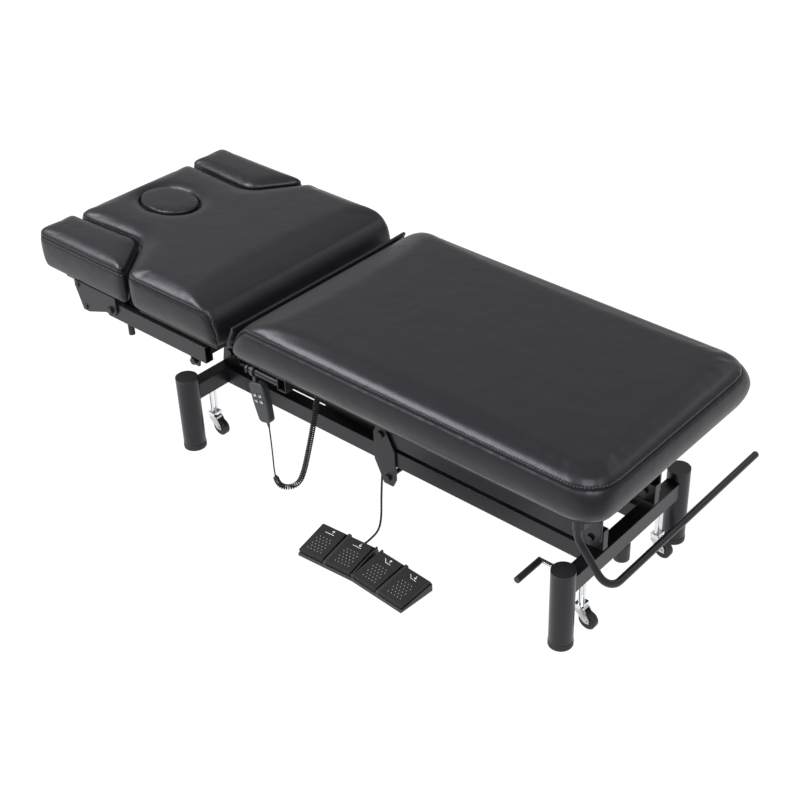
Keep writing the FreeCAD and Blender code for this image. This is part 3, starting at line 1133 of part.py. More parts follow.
# Handset
def make_handset():
    hang = Placement(Vector(d.set_x, -d.hook_y, d.set_z), Rotation(Vector(0, 1, 0), -d.set_tilt))
    wide, narrow = d.set_w / 2, d.set_low_w / 2
    front_view = [(-narrow, -d.set_h, d.set_low_r), (narrow, -d.set_h, d.set_low_r),
                  (wide, -d.set_h / 2, d.set_h), (wide, 0, d.set_top_r), (-wide, 0, d.set_top_r),
                  (-wide, -d.set_h / 2, d.set_h)]
    case = slab(front_view, 0, 0, d.set_t)
    ends = [f for f in case.Faces if abs(f.normalAt(0, 0).z) > 0.99]
    case = case.makeFillet(d.set_edge, [e for f in ends for e in f.Edges])
    case.Placement = Placement(Vector(0, d.set_t / 2, 0), Rotation(Vector(1, 0, 0), 90))
    relief = Part.makeCone(d.relief_d / 2, d.relief_tip / 2, d.relief_l, Vector(0, 0, -d.set_h),
                           Vector(0, 0, -1))
    front = -d.set_t / 2
    keys = []
    for row_index in range(2):
        for column in (-1, 1):
            x = column * d.key_pitch_x / 2
            z = -d.key_z - row_index * d.key_pitch_z
            keys.append((x, z))
    for x, z in keys:
        case = case.cut(key_block(x, z, front, d.seat_gap, d.key_t - d.key_out + d.key_room))
    pin_z = d.frame_z + d.frame_h / 3
    lean = math.tan(math.radians(d.set_tilt))
    ring_x = d.set_x - lean * (pin_z - d.set_z)
    bore = d.hook_d / 2 + d.seat_gap
    ring_start = Vector(ring_x - d.ring_w / 2, -d.hook_y, pin_z)
    outer = cylinder(2 * (bore + d.ring_wall), d.ring_w, ring_start, Vector(1, 0, 0))
    inner = cylinder(2 * bore, d.ring_w, ring_start, Vector(1, 0, 0))
    neck_low = d.set_z - d.set_r
    neck = Part.makeBox(d.ring_w, d.ring_w, pin_z - bore - neck_low,
                        Vector(ring_x - d.ring_w / 2, -d.hook_y - d.ring_w / 2, neck_low))
    whole = case.fuse(relief)
    whole.Placement = hang
    feature("handset_case", whole.fuse([outer, neck]).removeSplitter().cut(inner))
    for name, (x, z) in zip(("raise", "lower", "back_up", "back_down"), keys):
        key = Part.makeBox(d.key_w, d.key_t, d.key_h,
                           Vector(x - d.key_w / 2, front - d.key_out, z - d.key_h / 2))
        key.Placement = hang
        feature(f"handset_button_{name}", key)


def key_block(x, z, front, grow, depth):
    """The space of one button behind the handset's front."""
    return Part.makeBox(d.key_w + 2 * grow, depth + OVER, d.key_h + 2 * grow,
                        Vector(x - d.key_w / 2 - grow, front - OVER, z - d.key_h / 2 - grow))


# Foot control
def pedal_half(side):
    """The placement of one half, drawn outwards along +X from the middle with its front at Y 0."""
    return Placement(Vector(d.pad_x, d.pad_y, 0), Rotation(Vector(0, 0, 1), -side * d.pad_yaw))


def pedal_exit(beyond):
    """Where the cord leaves the back of the left half."""
    return pedal_half(-1).multVec(Vector(-d.relief_x, d.pad_depth + beyond, d.pad_back / 2))


def yz_prism(profile, x, width):
    points = [Vector(x, y, z) for y, z in profile]
    return Part.Face(Part.makePolygon(points + points[:1])).extrude(Vector(width, 0, 0))


def make_foot_control():
    """A low wedge in two halves, each with two rocking pedals on a pin that its ribs carry."""
    depth = d.pad_depth
    rise = (d.pad_back - d.pad_front) / depth
    back = depth - d.pedal_in
    pin = (depth - d.pedal_pin_in, d.pedal_pin_z)
    pedal_w = (d.pad_w - 1.5 * d.rib_w - 4 * d.pedal_gap) / 2
    pitch = pedal_w + d.rib_w + 2 * d.pedal_gap
    chamfer = d.pedal_chamfer
    wedge = [(0, 0), (depth, 0), (depth, d.pad_back), (0, d.pad_front)]
    rib = [(d.pedal_in, 0), (back, 0), (back, d.pedal_back - d.rib_low),
           (d.pedal_in, d.pedal_front - d.rib_low)]
    cap = [(d.pedal_in, d.pedal_front - d.pedal_t), (back, d.pad_front + rise * back + d.pedal_gap),
           (back, d.pedal_back - chamfer), (back - chamfer, d.pedal_back), (d.pedal_in, d.pedal_front)]
    halves = []
    for side in (-1, 1):
        def across(profile, start, width):
            return yz_prism(profile, start if side > 0 else -start - width, width)

        pieces = [across(rib, 0, d.rib_w / 2), across(rib, pitch - d.rib_w / 2, d.rib_w)]
        pin_start = 0 if side > 0 else d.pedal_in - d.pad_w
        pieces.append(cylinder(d.pedal_pin_d, d.pad_w - d.pedal_in, Vector(pin_start, *pin),
                               Vector(1, 0, 0)))
        if side < 0:
            pieces.append(Part.makeCone(d.relief_d / 2, d.cord_d / 2 + d.seat_gap, d.relief_l,
                                        Vector(-d.relief_x, depth, d.pad_back / 2), Vector(0, 1, 0)))
        half = across(wedge, 0, d.pad_w).fuse(pieces).removeSplitter()
        half.Placement = pedal_half(side)
        halves.append(half)
        for i in range(2):
            start = d.rib_w / 2 + d.pedal_gap + i * pitch
            bore = cylinder(d.pedal_pin_d + 2 * d.run_gap, 2 * d.pad_w, Vector(-d.pad_w, *pin),
                            Vector(1, 0, 0))
            pedal = across(cap, start, pedal_w).cut(bore)
            pedal.Placement = pedal_half(side)
            feature(f"pedal_{2 - i if side < 0 else 3 + i}", pedal)
    corners = [pedal_half(0).Base] + [pedal_half(side).multVec(Vector(0, depth, 0)) for side in (1, -1)]
    infill = Part.Face(Part.makePolygon(corners + corners[:1])).extrude(Vector(0, 0, d.pad_front))
    feature("pedal_base", halves[0].fuse([halves[1], infill]).removeSplitter())


make_base()
make_base_fittings()
make_castors()
make_lift_arms()
make_upper_frame()
make_upper_fittings()
make_paper_bar()
make_cushions()
make_backrest_frame()
make_hinge_arms()
make_actuators()
make_handset()
make_foot_control()
make_handset_cord()
make_pedal_cord()
doc.recompute()

# Check every object before anything is written
for obj in doc.Objects:
    if {"Invalid", "Error"} & set(obj.State):
        raise RuntimeError(f"{obj.Label} failed: {obj.State}")
for label, part in nodes.items():
    if part.Shape.isNull() or not part.Shape.isValid():
        raise RuntimeError(f"{label} has no valid shape")

os.makedirs("parts", exist_ok=True)
for label, part in nodes.items():
    part.Shape.exportStep(f"parts/{label}.step")
print(f"{len(nodes)} sub-parts")
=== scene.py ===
# %% [markdown]
# # A treatment table, dressed for its portrait
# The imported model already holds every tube, pin, wheel and board at its real size. This lesson adds what
# a solid model can't show: leatherette that swells over foam, stitching, cords that hang, raised dots on
# the pedals, and the finishes. Everything is in metres, in the model's own frame.

# %% Load the frame
import json
import math

import bpy
import numpy as np
from mathutils import Matrix, Vector
from mathutils.kdtree import KDTree


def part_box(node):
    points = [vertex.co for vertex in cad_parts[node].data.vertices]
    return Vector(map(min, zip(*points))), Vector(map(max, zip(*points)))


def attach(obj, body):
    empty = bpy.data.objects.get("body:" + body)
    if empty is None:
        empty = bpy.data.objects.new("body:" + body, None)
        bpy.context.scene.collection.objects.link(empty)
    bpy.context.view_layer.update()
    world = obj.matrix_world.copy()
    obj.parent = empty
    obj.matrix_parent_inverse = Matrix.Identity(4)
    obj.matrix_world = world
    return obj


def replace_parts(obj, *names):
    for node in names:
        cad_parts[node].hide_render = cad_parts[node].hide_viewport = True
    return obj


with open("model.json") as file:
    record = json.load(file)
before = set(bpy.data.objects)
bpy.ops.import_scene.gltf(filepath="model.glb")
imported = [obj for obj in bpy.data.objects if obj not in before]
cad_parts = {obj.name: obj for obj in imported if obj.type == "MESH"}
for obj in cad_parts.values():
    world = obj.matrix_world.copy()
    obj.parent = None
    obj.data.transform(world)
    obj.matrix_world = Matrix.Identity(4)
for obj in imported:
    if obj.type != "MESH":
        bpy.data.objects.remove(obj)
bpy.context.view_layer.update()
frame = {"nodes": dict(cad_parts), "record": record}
nodes = frame["nodes"]

# %% [markdown]
# ## Where things are
# The maker's drawings measure from the middle of the base, in millimetres, while the model's origin is under
# the middle of its whole box. One small function turns a drawing's point into the frame's metres.

# %% From the drawing to the frame
BASE_MIDDLE = Vector((0.14875, 0.0235, 0.0))


def drawn(x, y, z):
    return Vector((x, y, z)) / 1000 + BASE_MIDDLE


print("base middle at", tuple(BASE_MIDDLE))

# %% [markdown]
# ## The camera
# The picture was taken from above the foot end with a longish lens. The viewing direction is written as two
# angles and a little roll, the way a tripod head is read, and the lens comes from the picture's perspective.
# Euler angles could do the same, but three plain axis vectors show what the camera sees as right and up.
# The picture is a crop, so the lens looks at a spot beside its middle; that is the camera's shift.

# %% Camera
CAMERA_AT = drawn(2181.6, -2462.8, 2588.9)
AZIMUTH, ELEVATION, ROLL = (math.radians(v) for v in (36.12, 34.38, 1.53))
PICTURE = 800
FOCAL_PIXELS = 1466
AXIS_RIGHT, AXIS_DOWN = 137.5, -8.9
SENSOR_MM = 36


def camera_axes():
    back = Vector((math.sin(AZIMUTH) * math.cos(ELEVATION), -math.cos(AZIMUTH) * math.cos(ELEVATION),
                   math.sin(ELEVATION)))
    right = Vector((math.cos(AZIMUTH), math.sin(AZIMUTH), 0))
    up = back.cross(right)
    turned = right * math.cos(ROLL) + up * math.sin(ROLL)
    return turned, back.cross(turned), back


bpy.ops.object.select_all(action="DESELECT")
bpy.ops.object.camera_add()
camera = bpy.context.object
camera.name = "portrait_camera"
right, up, back = camera_axes()
camera.matrix_world = Matrix.Translation(CAMERA_AT) @ Matrix((right, up, back)).transposed().to_4x4()
camera.data.sensor_width = SENSOR_MM
camera.data.sensor_fit = "HORIZONTAL"
camera.data.lens = FOCAL_PIXELS * SENSOR_MM / PICTURE
camera.data.shift_x = -AXIS_RIGHT / PICTURE
camera.data.shift_y = AXIS_DOWN / PICTURE
bpy.context.scene.camera = camera
print("lens", round(camera.data.lens, 2), "mm")

# %% [markdown]
# ## Floor and light
# Catalogue pictures are taken on a lit white sweep. Dark leatherette shows little colour of its own, so its
# picture is made of reflections: the white surround gives every face its grey, and three soft boxes stand
# where a mirror on the near edge, on the rolled ends or on the foot corner would show them to the camera. The
# display transform is Standard, because a film-like one would turn the white sweep grey.

# %% Stage
FLOOR_SIZE, SURROUND_GLOW, WHITE = 40, 0.6, (1, 1, 1, 1)
bpy.context.scene.view_settings.view_transform = "Standard"
bpy.ops.object.select_all(action="DESELECT")
bpy.ops.mesh.primitive_plane_add(size=FLOOR_SIZE)
floor = bpy.context.object
floor.name = "studio_floor"
TABLE_MIDDLE = Vector((0, 0, 0.5))


def soft_box(name, toward, width, height, watts, away=4.2):
    """A rectangular lamp, some metres from the table in one direction, turned to face it."""
    place = TABLE_MIDDLE + Vector(toward).normalized() * away
    bpy.ops.object.light_add(type="AREA", location=place)
    lamp = bpy.context.object
    lamp.name = name
    lamp.data.shape = "RECTANGLE"
    lamp.data.size = width
    lamp.data.size_y = height
    lamp.data.energy = watts
    lamp.rotation_euler = (TABLE_MIDDLE - place).to_track_quat("-Z", "Y").to_euler()


soft_box("near_edge_box", (-0.49, -0.50, 0.71), 3.2, 1.8, 290)
soft_box("rolled_end_box", (0.42, 0.66, 0.62), 2.4, 1.0, 16)
soft_box("foot_corner_box", (0.46, -0.30, 0.82), 1.6, 1.2, 85)
surround = bpy.data.worlds.new("pale_surround")
bpy.context.scene.world = surround
surround.use_nodes = True
surround.node_tree.nodes["Background"].inputs["Color"].default_value = WHITE
surround.node_tree.nodes["Background"].inputs["Strength"].default_value = SURROUND_GLOW
print("floor and three soft boxes")

# %% [markdown]
# ## One way to write a material
# Every finish below is a Principled surface whose colour, roughness and bump come from procedural patterns.
# Two helpers keep that readable: one turns a colour picked on screen (sRGB hex) into the linear values the
# renderer works in, the other adds a node with its settings and links in one line.

# %% Material helpers
def from_hex(code):
    def linear(part):
        value = int(part, 16) / 255
        return value / 12.92 if value <= 0.04045 else ((value + 0.055) / 1.055) ** 2.4

    return tuple(linear(code[i:i + 2]) for i in (1, 3, 5)) + (1.0,)


def add(material, kind, inputs=None, **settings):
    """Add one node: settings are its own properties, inputs are values or sockets to link."""
    tree = material.node_tree
    node = tree.nodes.new(kind)
    for name, value in settings.items():
        setattr(node, name, value)
    for name, value in (inputs or {}).items():
        if isinstance(value, bpy.types.NodeSocket):
            tree.links.new(value, node.inputs[name])
        else:
            node.inputs[name].default_value = value
    return node


def per_mm(size):
    """The texture scale whose pattern repeats about every so many millimetres."""
    return 1000 / size


def finish(name, dark, light, roughness, rough_spread, grain_mm, grain_depth_mm, mottle_mm=40, edge_mm=0,
           **constants):
    """A surface whose colour drifts between two tones and whose roughness and bump follow its grain.

    With an edge radius, sharp edges are shaded as if they were rounded, so they catch the light."""
    material = bpy.data.materials.new(name)
    material.use_nodes = True
    surface = material.node_tree.nodes["Principled BSDF"]
    for socket, value in constants.items():
        surface.inputs[socket.replace("_", " ")].default_value = value
    place = add(material, "ShaderNodeTexCoord").outputs["Object"]
    mottle = add(material, "ShaderNodeTexNoise", {"Vector": place, "Scale": per_mm(mottle_mm), "Detail": 4.0})
    tones = {"Factor": mottle.outputs["Fac"], 6: from_hex(dark), 7: from_hex(light)}
    tone = add(material, "ShaderNodeMix", tones, data_type="RGBA")
    grain = add(material, "ShaderNodeTexNoise", {"Vector": place, "Scale": per_mm(grain_mm), "Detail": 3.0})
    spread = {"Value": grain.outputs["Fac"], "From Min": 0.3, "From Max": 0.7,
              "To Min": roughness - rough_spread, "To Max": roughness + rough_spread}
    rough = add(material, "ShaderNodeMapRange", spread)
    bump = add(material, "ShaderNodeBump", {"Height": grain.outputs["Fac"], "Strength": 1.0,
                                            "Distance": grain_depth_mm / 1000})
    links = material.node_tree.links
    if edge_mm:
        edge = add(material, "ShaderNodeBevel", {"Radius": edge_mm / 1000}, samples=6)
        links.new(edge.outputs["Normal"], bump.inputs["Normal"])
    links.new(tone.outputs[2], surface.inputs["Base Color"])
    links.new(rough.outputs["Result"], surface.inputs["Roughness"])
    links.new(bump.outputs["Normal"], surface.inputs["Normal"])
    return material


print("helpers ready")

# %% [markdown]
# ## The finishes
# The table is almost all black, so what tells the pieces apart is gloss and grain. Powder coat is baked
# polyester with a fine orange peel. The castor stems are bright chrome, the bolts blacked steel. Mouldings
# are ABS with a spark-eroded texture, tyres are black thermoplastic rubber, and the floor is a lit sweep.

# %% Finishes
COOL_GLOSS = (0.9, 0.88, 1.0, 1.0)
powder_coat = finish("powder_coated_steel", "#101011", "#161618", 0.34, 0.05, 0.9, 0.04, edge_mm=3,
                     Specular_IOR_Level=0.4, Specular_Tint=COOL_GLOSS)
moulded_abs = finish("moulded_abs", "#161618", "#1d1d20", 0.48, 0.06, 0.7, 0.05, edge_mm=1.5)
pedal_abs = finish("pedal_abs", "#0d0d0e", "#131315", 0.55, 0.06, 0.8, 0.06, edge_mm=2,
                   Specular_IOR_Level=0.3)
handset_abs = finish("grey_abs", "#1e2225", "#262b2e", 0.45, 0.05, 0.7, 0.04, edge_mm=2)
cable_pvc = finish("cable_pvc", "#0b0b0c", "#131314", 0.42, 0.05, 1.2, 0.03)
foot_rubber = finish("foot_rubber", "#0c0c0d", "#131314", 0.62, 0.06, 1.0, 0.05, edge_mm=1)
tyre_rubber = finish("tyre_rubber", "#101011", "#18181a", 0.55, 0.06, 1.0, 0.05, edge_mm=2)
zinc_plate = finish("zinc_plated_steel", "#b9bbbd", "#cdced0", 0.26, 0.06, 0.6, 0.02, edge_mm=0.6,
                    Metallic=1.0)
black_bolt = finish("black_oxide_steel", "#1a1a1c", "#242427", 0.34, 0.06, 0.6, 0.02, edge_mm=0.8,
                    Metallic=0.4)
chrome = finish("chrome_plated_steel", "#d8dadd", "#e6e8ea", 0.09, 0.02, 0.8, 0.004, edge_mm=0.6,
                Metallic=1.0)
stained_ply = finish("black_stained_plywood", "#100f0e", "#1b1917", 0.6, 0.07, 2.5, 0.08)
keypad_pvc = finish("keypad_film", "#33393d", "#3d4448", 0.4, 0.04, 0.8, 0.02, edge_mm=1)
# painted highlight: the pedal dots are coloured light grey to stand for the glints on the small bumps, not
# wear
painted_highlight_dots_abs = finish("painted_highlight_dots_abs", "#66676b", "#77787c", 0.5, 0.05, 0.8, 0.03)
printed_ink = finish("white_print", "#c9cdd0", "#dfe3e5", 0.5, 0.04, 0.8, 0.01)
lit_sweep = finish("lit_white_sweep", "#2c2c2c", "#303030", 0.9, 0.05, 3.0, 0.02, mottle_mm=900,
                   Emission_Color=WHITE, Emission_Strength=1.02)
floor.data.materials.append(lit_sweep)
by_slot = {"powder_coat": powder_coat, "board": stained_ply, "plastic": moulded_abs, "button": keypad_pvc,
           "rubber": foot_rubber, "zinc": zinc_plate, "chrome": chrome, "castor_tyre": tyre_rubber}
by_node = {"handset_case": handset_abs, "base_bolts": black_bolt, "upper_bolts": black_bolt,
           "backrest_pins": black_bolt, **{f"pedal_{number}": pedal_abs for number in range(1, 5)}}
dressed = 0
for subpart in frame["record"]["subparts"]:
    coat = by_node.get(subpart["node"], by_slot.get(subpart["material_slot"]))
    if coat:
        mesh = nodes[subpart["node"]].data
        mesh.materials.clear()
        mesh.materials.append(coat)
        dressed += 1
print(dressed, "model nodes have their finish")

# %% [markdown]
# ## Leatherette
# The cushions are covered in polyurethane leatherette: a knit backing with a soft black skin, embossed with a
# shallow pebble grain about a millimetre across. That is too fine to show here, so the pebbles are drawn
# twice as coarse. The skin is satin, so the grain is seen as a slight spread of the highlight. A Voronoi
# pattern gives the pebbles and a broad noise the slow ripple of pulled skin.

# %% Leatherette finish
PEBBLE_MM, RIPPLE_MM = 2.2, 70


def make_leatherette():
    material = finish("pu_leatherette", "#0f0e11", "#131215", 0.38, 0.04, 1.6, 0.02, mottle_mm=120,
                      Specular_IOR_Level=0.36, Specular_Tint=COOL_GLOSS)
    tree = material.node_tree
    surface = tree.nodes["Principled BSDF"]
    surface.inputs["Sheen Weight"].default_value = 0.04
    surface.inputs["Sheen Roughness"].default_value = 0.4
    surface.inputs["IOR"].default_value = 1.48
    place = add(material, "ShaderNodeTexCoord").outputs["Object"]
    pebbles = add(material, "ShaderNodeTexVoronoi",
                  {"Vector": place, "Scale": per_mm(PEBBLE_MM), "Randomness": 0.9}, feature="SMOOTH_F1")
    ripple = add(material, "ShaderNodeTexNoise", {"Vector": place, "Scale": per_mm(RIPPLE_MM), "Detail": 2.0})
    fine = add(material, "ShaderNodeBump", {"Height": pebbles.outputs["Distance"], "Strength": 0.5,
                                            "Distance": 0.00025})
    slow = add(material, "ShaderNodeBump", {"Height": ripple.outputs["Fac"], "Strength": 0.5,
                                            "Distance": 0.004, "Normal": fine.outputs["Normal"]})
    tree.links.new(slow.outputs["Normal"], surface.inputs["Normal"])
    return material


leatherette = make_leatherette()
# painted highlight: the thread is coloured light grey so the stitches show as glints on the puckered seam;
# the real thread is dark
thread = finish("thread_painted_glint", "#66666e", "#74747c", 0.75, 0.05, 0.8, 0.05, Specular_IOR_Level=0.15)
# painted shade: the seam's fold is coloured near black, with little gloss, to stand for the shade in the
# crease
seam_fold_painted_shade = finish("folded_seam_painted_shade", "#050506", "#08080a", 0.7, 0.05, 1.5, 0.05, Specular_IOR_Level=0.2)
print("leatherette and thread")

# %% [markdown]
# ## Cords
# Two leads hang from the table: a curly one from the handset and a plain round one from the foot control.
# A lead is a fixed length of something flexible, so it is one NURBS spline along its route. The curly lead
# is a helix: the route's own smooth line is read back as points, and the wire is wound round them.

# %% A smooth line through the air
def spline_curve(name, points, bevel=0.0, kind="NURBS", closed=False):
    data = bpy.data.curves.new(name, "CURVE")
    data.dimensions = "3D"
    data.resolution_u = 6
    line = data.splines.new(kind)
    line.points.add(len(points) - 1)
    for point, place in zip(line.points, points):
        point.co = (*place, 1)
    line.order_u = 3
    line.use_endpoint_u = True
    line.use_cyclic_u = closed
    data.bevel_depth = bevel
    data.bevel_resolution = 3
    data.use_fill_caps = bevel > 0
    curve = bpy.data.objects.new(name, data)
    bpy.context.scene.collection.objects.link(curve)
    return curve


def points_along(curve):
    """The smooth line of a curve, without its thickness, as closely spaced points."""
    kept = curve.data.bevel_depth, curve.data.resolution_u
    curve.data.bevel_depth, curve.data.resolution_u = 0, 24
    mesh = bpy.data.meshes.new_from_object(curve)
    places = np.array([v.co for v in mesh.vertices])
    bpy.data.meshes.remove(mesh)
    curve.data.bevel_depth, curve.data.resolution_u = kept
    return places


def run_of(places):
    """How far along its line each point lies."""
    return np.concatenate([[0], np.cumsum(np.linalg.norm(np.diff(places, axis=0), axis=1))])


def at_station(places, run, station):
    return Vector([np.interp(station, run, places[:, k]) for k in range(3)])


# %% [markdown]
# The foot control's lead leaves its strain relief, touches the floor and climbs to the gland under the rail.

# %% Foot control lead
PEDAL_CORD = 0.006
PEDAL_ROUTE = [(36.3, -286.1, 12), (32, -254, 9), (22, -224, 5), (6, -196, 6), (-14, -170, 15),
               (-34, -147, 37), (-49, -127, 68), (-58, -112, 105), (-60, -108, 146)]
pedal_lead = spline_curve("foot_control_lead", [drawn(*p) for p in PEDAL_ROUTE], PEDAL_CORD / 2)
pedal_lead.data.materials.append(cable_pvc)
pedal_length = float(run_of(points_along(pedal_lead))[-1])
print("foot control lead", round(pedal_length, 3), "m")

# %% [markdown]
# The handset's lead runs straight for a little, then curls. Its route hangs from the strain relief, turns
# in a low loop and rises to the socket under the frame. Round that line the wire takes a turn every 6 mm.

# %% Handset lead
HANDSET_ROUTE = [(-270.3, -318, 274), (-254, -329, 205), (-240, -343, 145), (-231, -337, 106),
                 (-215, -314, 93), (-200, -292, 104), (-193, -278, 138), (-191, -262, 185),
                 (-191, -240, 245), (-193, -216, 315), (-195, -200, 372), (-195, -200, 412)]
WIRE, CURL_RADIUS, CURL_PITCH, LEAD_IN, LEAD_OUT = 0.004, 0.0066, 0.006, 0.138, 0.016
STEPS_PER_TURN, LEAD_STEPS = 12, 8
LOOK_AHEAD = 0.004


def wind(places):
    """Turn a smooth line into a helix that starts and ends on the line."""
    run = run_of(places)
    curled = run[-1] - LEAD_IN - LEAD_OUT
    turns = round(curled / CURL_PITCH)
    ramp = 1.5 * CURL_PITCH
    stations = np.concatenate([np.linspace(0, LEAD_IN, LEAD_STEPS)[:-1],
                               np.linspace(LEAD_IN, run[-1] - LEAD_OUT, turns * STEPS_PER_TURN),
                               [run[-1] - LEAD_OUT / 2, run[-1]]])
    wound = []
    for at in stations:
        middle = at_station(places, run, at)
        ahead = at_station(places, run, at + LOOK_AHEAD)
        behind = at_station(places, run, at - LOOK_AHEAD)
        along = (ahead - behind).normalized()
        across = (Vector((1, 0, 0)) - along * along.x).normalized()
        inside = min(at - LEAD_IN, run[-1] - LEAD_OUT - at)
        share = min(max(inside / ramp, 0), 1)
        spread = CURL_RADIUS * share * share * (3 - 2 * share)
        angle = 2 * math.pi * turns * (at - LEAD_IN) / curled
        wound.append(middle + (across * math.cos(angle) + along.cross(across) * math.sin(angle)) * spread)
    return wound, turns


route_line = spline_curve("handset_route", [drawn(*p) for p in HANDSET_ROUTE])
wound, turns = wind(points_along(route_line))
bpy.data.objects.remove(route_line)
handset_lead = spline_curve("handset_lead", wound, WIRE / 2)
handset_lead.data.materials.append(cable_pvc)
handset_length = float(run_of(points_along(handset_lead))[-1])
handset_lead.data.resolution_u = 2
handset_lead.data.bevel_resolution = 2
print("handset lead:", turns, "turns,", round(handset_length, 3), "m of wire")

# %% Cords belong to the table
for lead, node, body, length, size in ((pedal_lead, "pedal_cord", "base", pedal_length, PEDAL_CORD),
                                       (handset_lead, "handset_cord", "upper", handset_length, WIRE)):
    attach(lead, body)
    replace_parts(lead, node)

# %% [markdown]
# ## Cushions
# A cushion is foam on a board, with a leatherette cover pulled over it: a top panel sewn to a side band. The
# cover pulls in at the seam and swells between. The model's plain block is copied, remeshed to even faces and
# blown up a little as cloth, held where the cover is sewn or stapled, so that it swells only where it can.

# %% Swell a cover over its foam
SIM_FRAMES = 20


def only(piece):
    """Make one object the active and only selected one."""
    bpy.ops.object.select_all(action="DESELECT")
    piece.select_set(True)
    bpy.context.view_layer.objects.active = piece


def apply_all(piece):
    only(piece)
    for modifier in list(piece.modifiers):
        bpy.ops.object.modifier_apply(modifier=modifier.name)


def copy_of(node, name):
    """A free copy of a model node, with its loose triangles merged."""
    nodes[node].hide_viewport = False
    only(nodes[node])
    bpy.ops.object.duplicate()
    piece = bpy.context.object
    piece.name = name
    piece.parent = None
    for key in list(piece.keys()):
        del piece[key]
    piece.data.materials.clear()
    bpy.ops.object.mode_set(mode="EDIT")
    bpy.ops.mesh.select_all(action="SELECT")
    bpy.ops.mesh.remove_doubles(threshold=0.00002)
    bpy.ops.mesh.customdata_custom_splitnormals_clear()
    bpy.ops.object.mode_set(mode="OBJECT")
    return piece


def coordinates(piece):
    places = np.empty(len(piece.data.vertices) * 3)
    piece.data.vertices.foreach_get("co", places)
    return places.reshape(-1, 3)


def set_coordinates(piece, places):
    piece.data.vertices.foreach_set("co", places.ravel())
    piece.data.update()
    bpy.context.view_layer.update()


def swell(piece, voxel, shrink, held_at, held_width, pressure, cap, relax_steps):
    """Remesh, draw in, blow up as cloth that is held at some heights, and limit the movement."""
    remesh = piece.modifiers.new("even_faces", "REMESH")
    remesh.mode = "VOXEL"
    remesh.voxel_size = voxel
    relax = piece.modifiers.new("relax", "SMOOTH")
    relax.factor = 0.5
    relax.iterations = relax_steps
    draw_in = piece.modifiers.new("draw_in", "DISPLACE")
    draw_in.mid_level = 0
    draw_in.strength = -shrink
    apply_all(piece)
    start = coordinates(piece)
    hold = piece.vertex_groups.new(name="sewn")
    weights = np.zeros(len(start))
    for height in held_at:
        weights = np.maximum(weights, np.exp(-((start[:, 2] - height) / held_width) ** 2))
    for index, weight in enumerate(weights):
        hold.add([index], float(weight), "REPLACE")
    cover = piece.modifiers.new("cover", "CLOTH")
    cover.settings.quality = 4
    cover.settings.mass = 0.25
    cover.settings.use_pressure = True
    cover.settings.uniform_pressure_force = pressure
    cover.settings.vertex_group_mass = "sewn"
    cover.settings.tension_stiffness = 20
    cover.settings.compression_stiffness = 20
    cover.settings.bending_stiffness = 2
    cover.settings.effector_weights.gravity = 0
    cover.point_cache.frame_end = SIM_FRAMES
    for number in range(1, SIM_FRAMES + 1):
        bpy.context.scene.frame_set(number)
    apply_all(piece)
    bpy.context.scene.frame_set(1)
    moved = coordinates(piece) - start
    far = np.maximum(np.linalg.norm(moved, axis=1, keepdims=True), 1e-9)
    set_coordinates(piece, start + moved * np.tanh(far / cap) * cap / far)
    piece.vertex_groups.clear()
    print(piece.name, "swelled by up to", round(1000 * cap * math.tanh(far.max() / cap), 1), "mm")
    smooth = piece.modifiers.new("smooth", "SUBSURF")
    smooth.levels = 1
    smooth.render_levels = 1
    apply_all(piece)
    bpy.ops.object.shade_smooth()
    return piece


# %% [markdown]
# ## Seams
# A top panel and a side band are sewn together with their edges folded in. From outside that is a fold,
# drawn in a little, with a row of top stitching beside it. The fold is a thin tube painted near black:
# painted shade for the crease, where the drawn-in cover is also really sunk. The stitches are painted light
# grey, a painted glint on thread that is dark. The line of the seam is written as corners with radii, like a
# drawing, then laid on the swollen cover by looking for the nearest point of its surface. One stitch is
# modelled, repeated by an Array and bent along its guide by a Curve modifier.

# %% Lines on a cover
MM = 0.001
ARC_STEPS = 8
THREAD_WAVES = ((0.08, 0.9), (0.06, 0.37))


def rounded_line(corners, closed):
    """Straight runs joined by arcs; a corner is x, y, z and its radius, in the drawing's millimetres."""
    line = []
    for number, (x, y, z, radius) in enumerate(corners):
        corner = Vector((x, y, z))
        if not radius:
            line.append(corner)
            continue
        before = (Vector(corners[number - 1][:3]) - corner).normalized()
        after = (Vector(corners[(number + 1) % len(corners)][:3]) - corner).normalized()
        half = before.angle(after) / 2
        middle = corner + (before + after).normalized() * (radius / math.sin(half))
        first = corner + before * (radius / math.tan(half)) - middle
        last = corner + after * (radius / math.tan(half)) - middle
        line += [middle + first.slerp(last, step / ARC_STEPS) * radius for step in range(ARC_STEPS + 1)]
    return [drawn(*place) for place in line + line[:int(closed)]]


def evenly(line, spacing):
    """The same line as points an even distance apart."""
    places = np.array(line)
    run = run_of(places)
    return [at_station(places, run, at) for at in np.linspace(0, run[-1], round(run[-1] / spacing) + 1)]


def on_surface(pad, line):
    """The nearest points of a cover, and the directions that it faces there."""
    found = [pad.closest_point_on_mesh(place) for place in line]
    return [place for _, place, _, _ in found], [normal for _, _, normal, _ in found]


def beside(pad, line, offset):
    """A line on the cover moved sideways: to the left of its direction, seen from outside."""
    places, normals = on_surface(pad, line)
    aheads = places[1:] + places[-1:]
    behinds = places[:1] + places[:-1]
    moved = [place + normal.cross(ahead - behind).normalized() * offset
             for place, normal, ahead, behind in zip(places, normals, aheads, behinds)]
    return on_surface(pad, moved)[0]


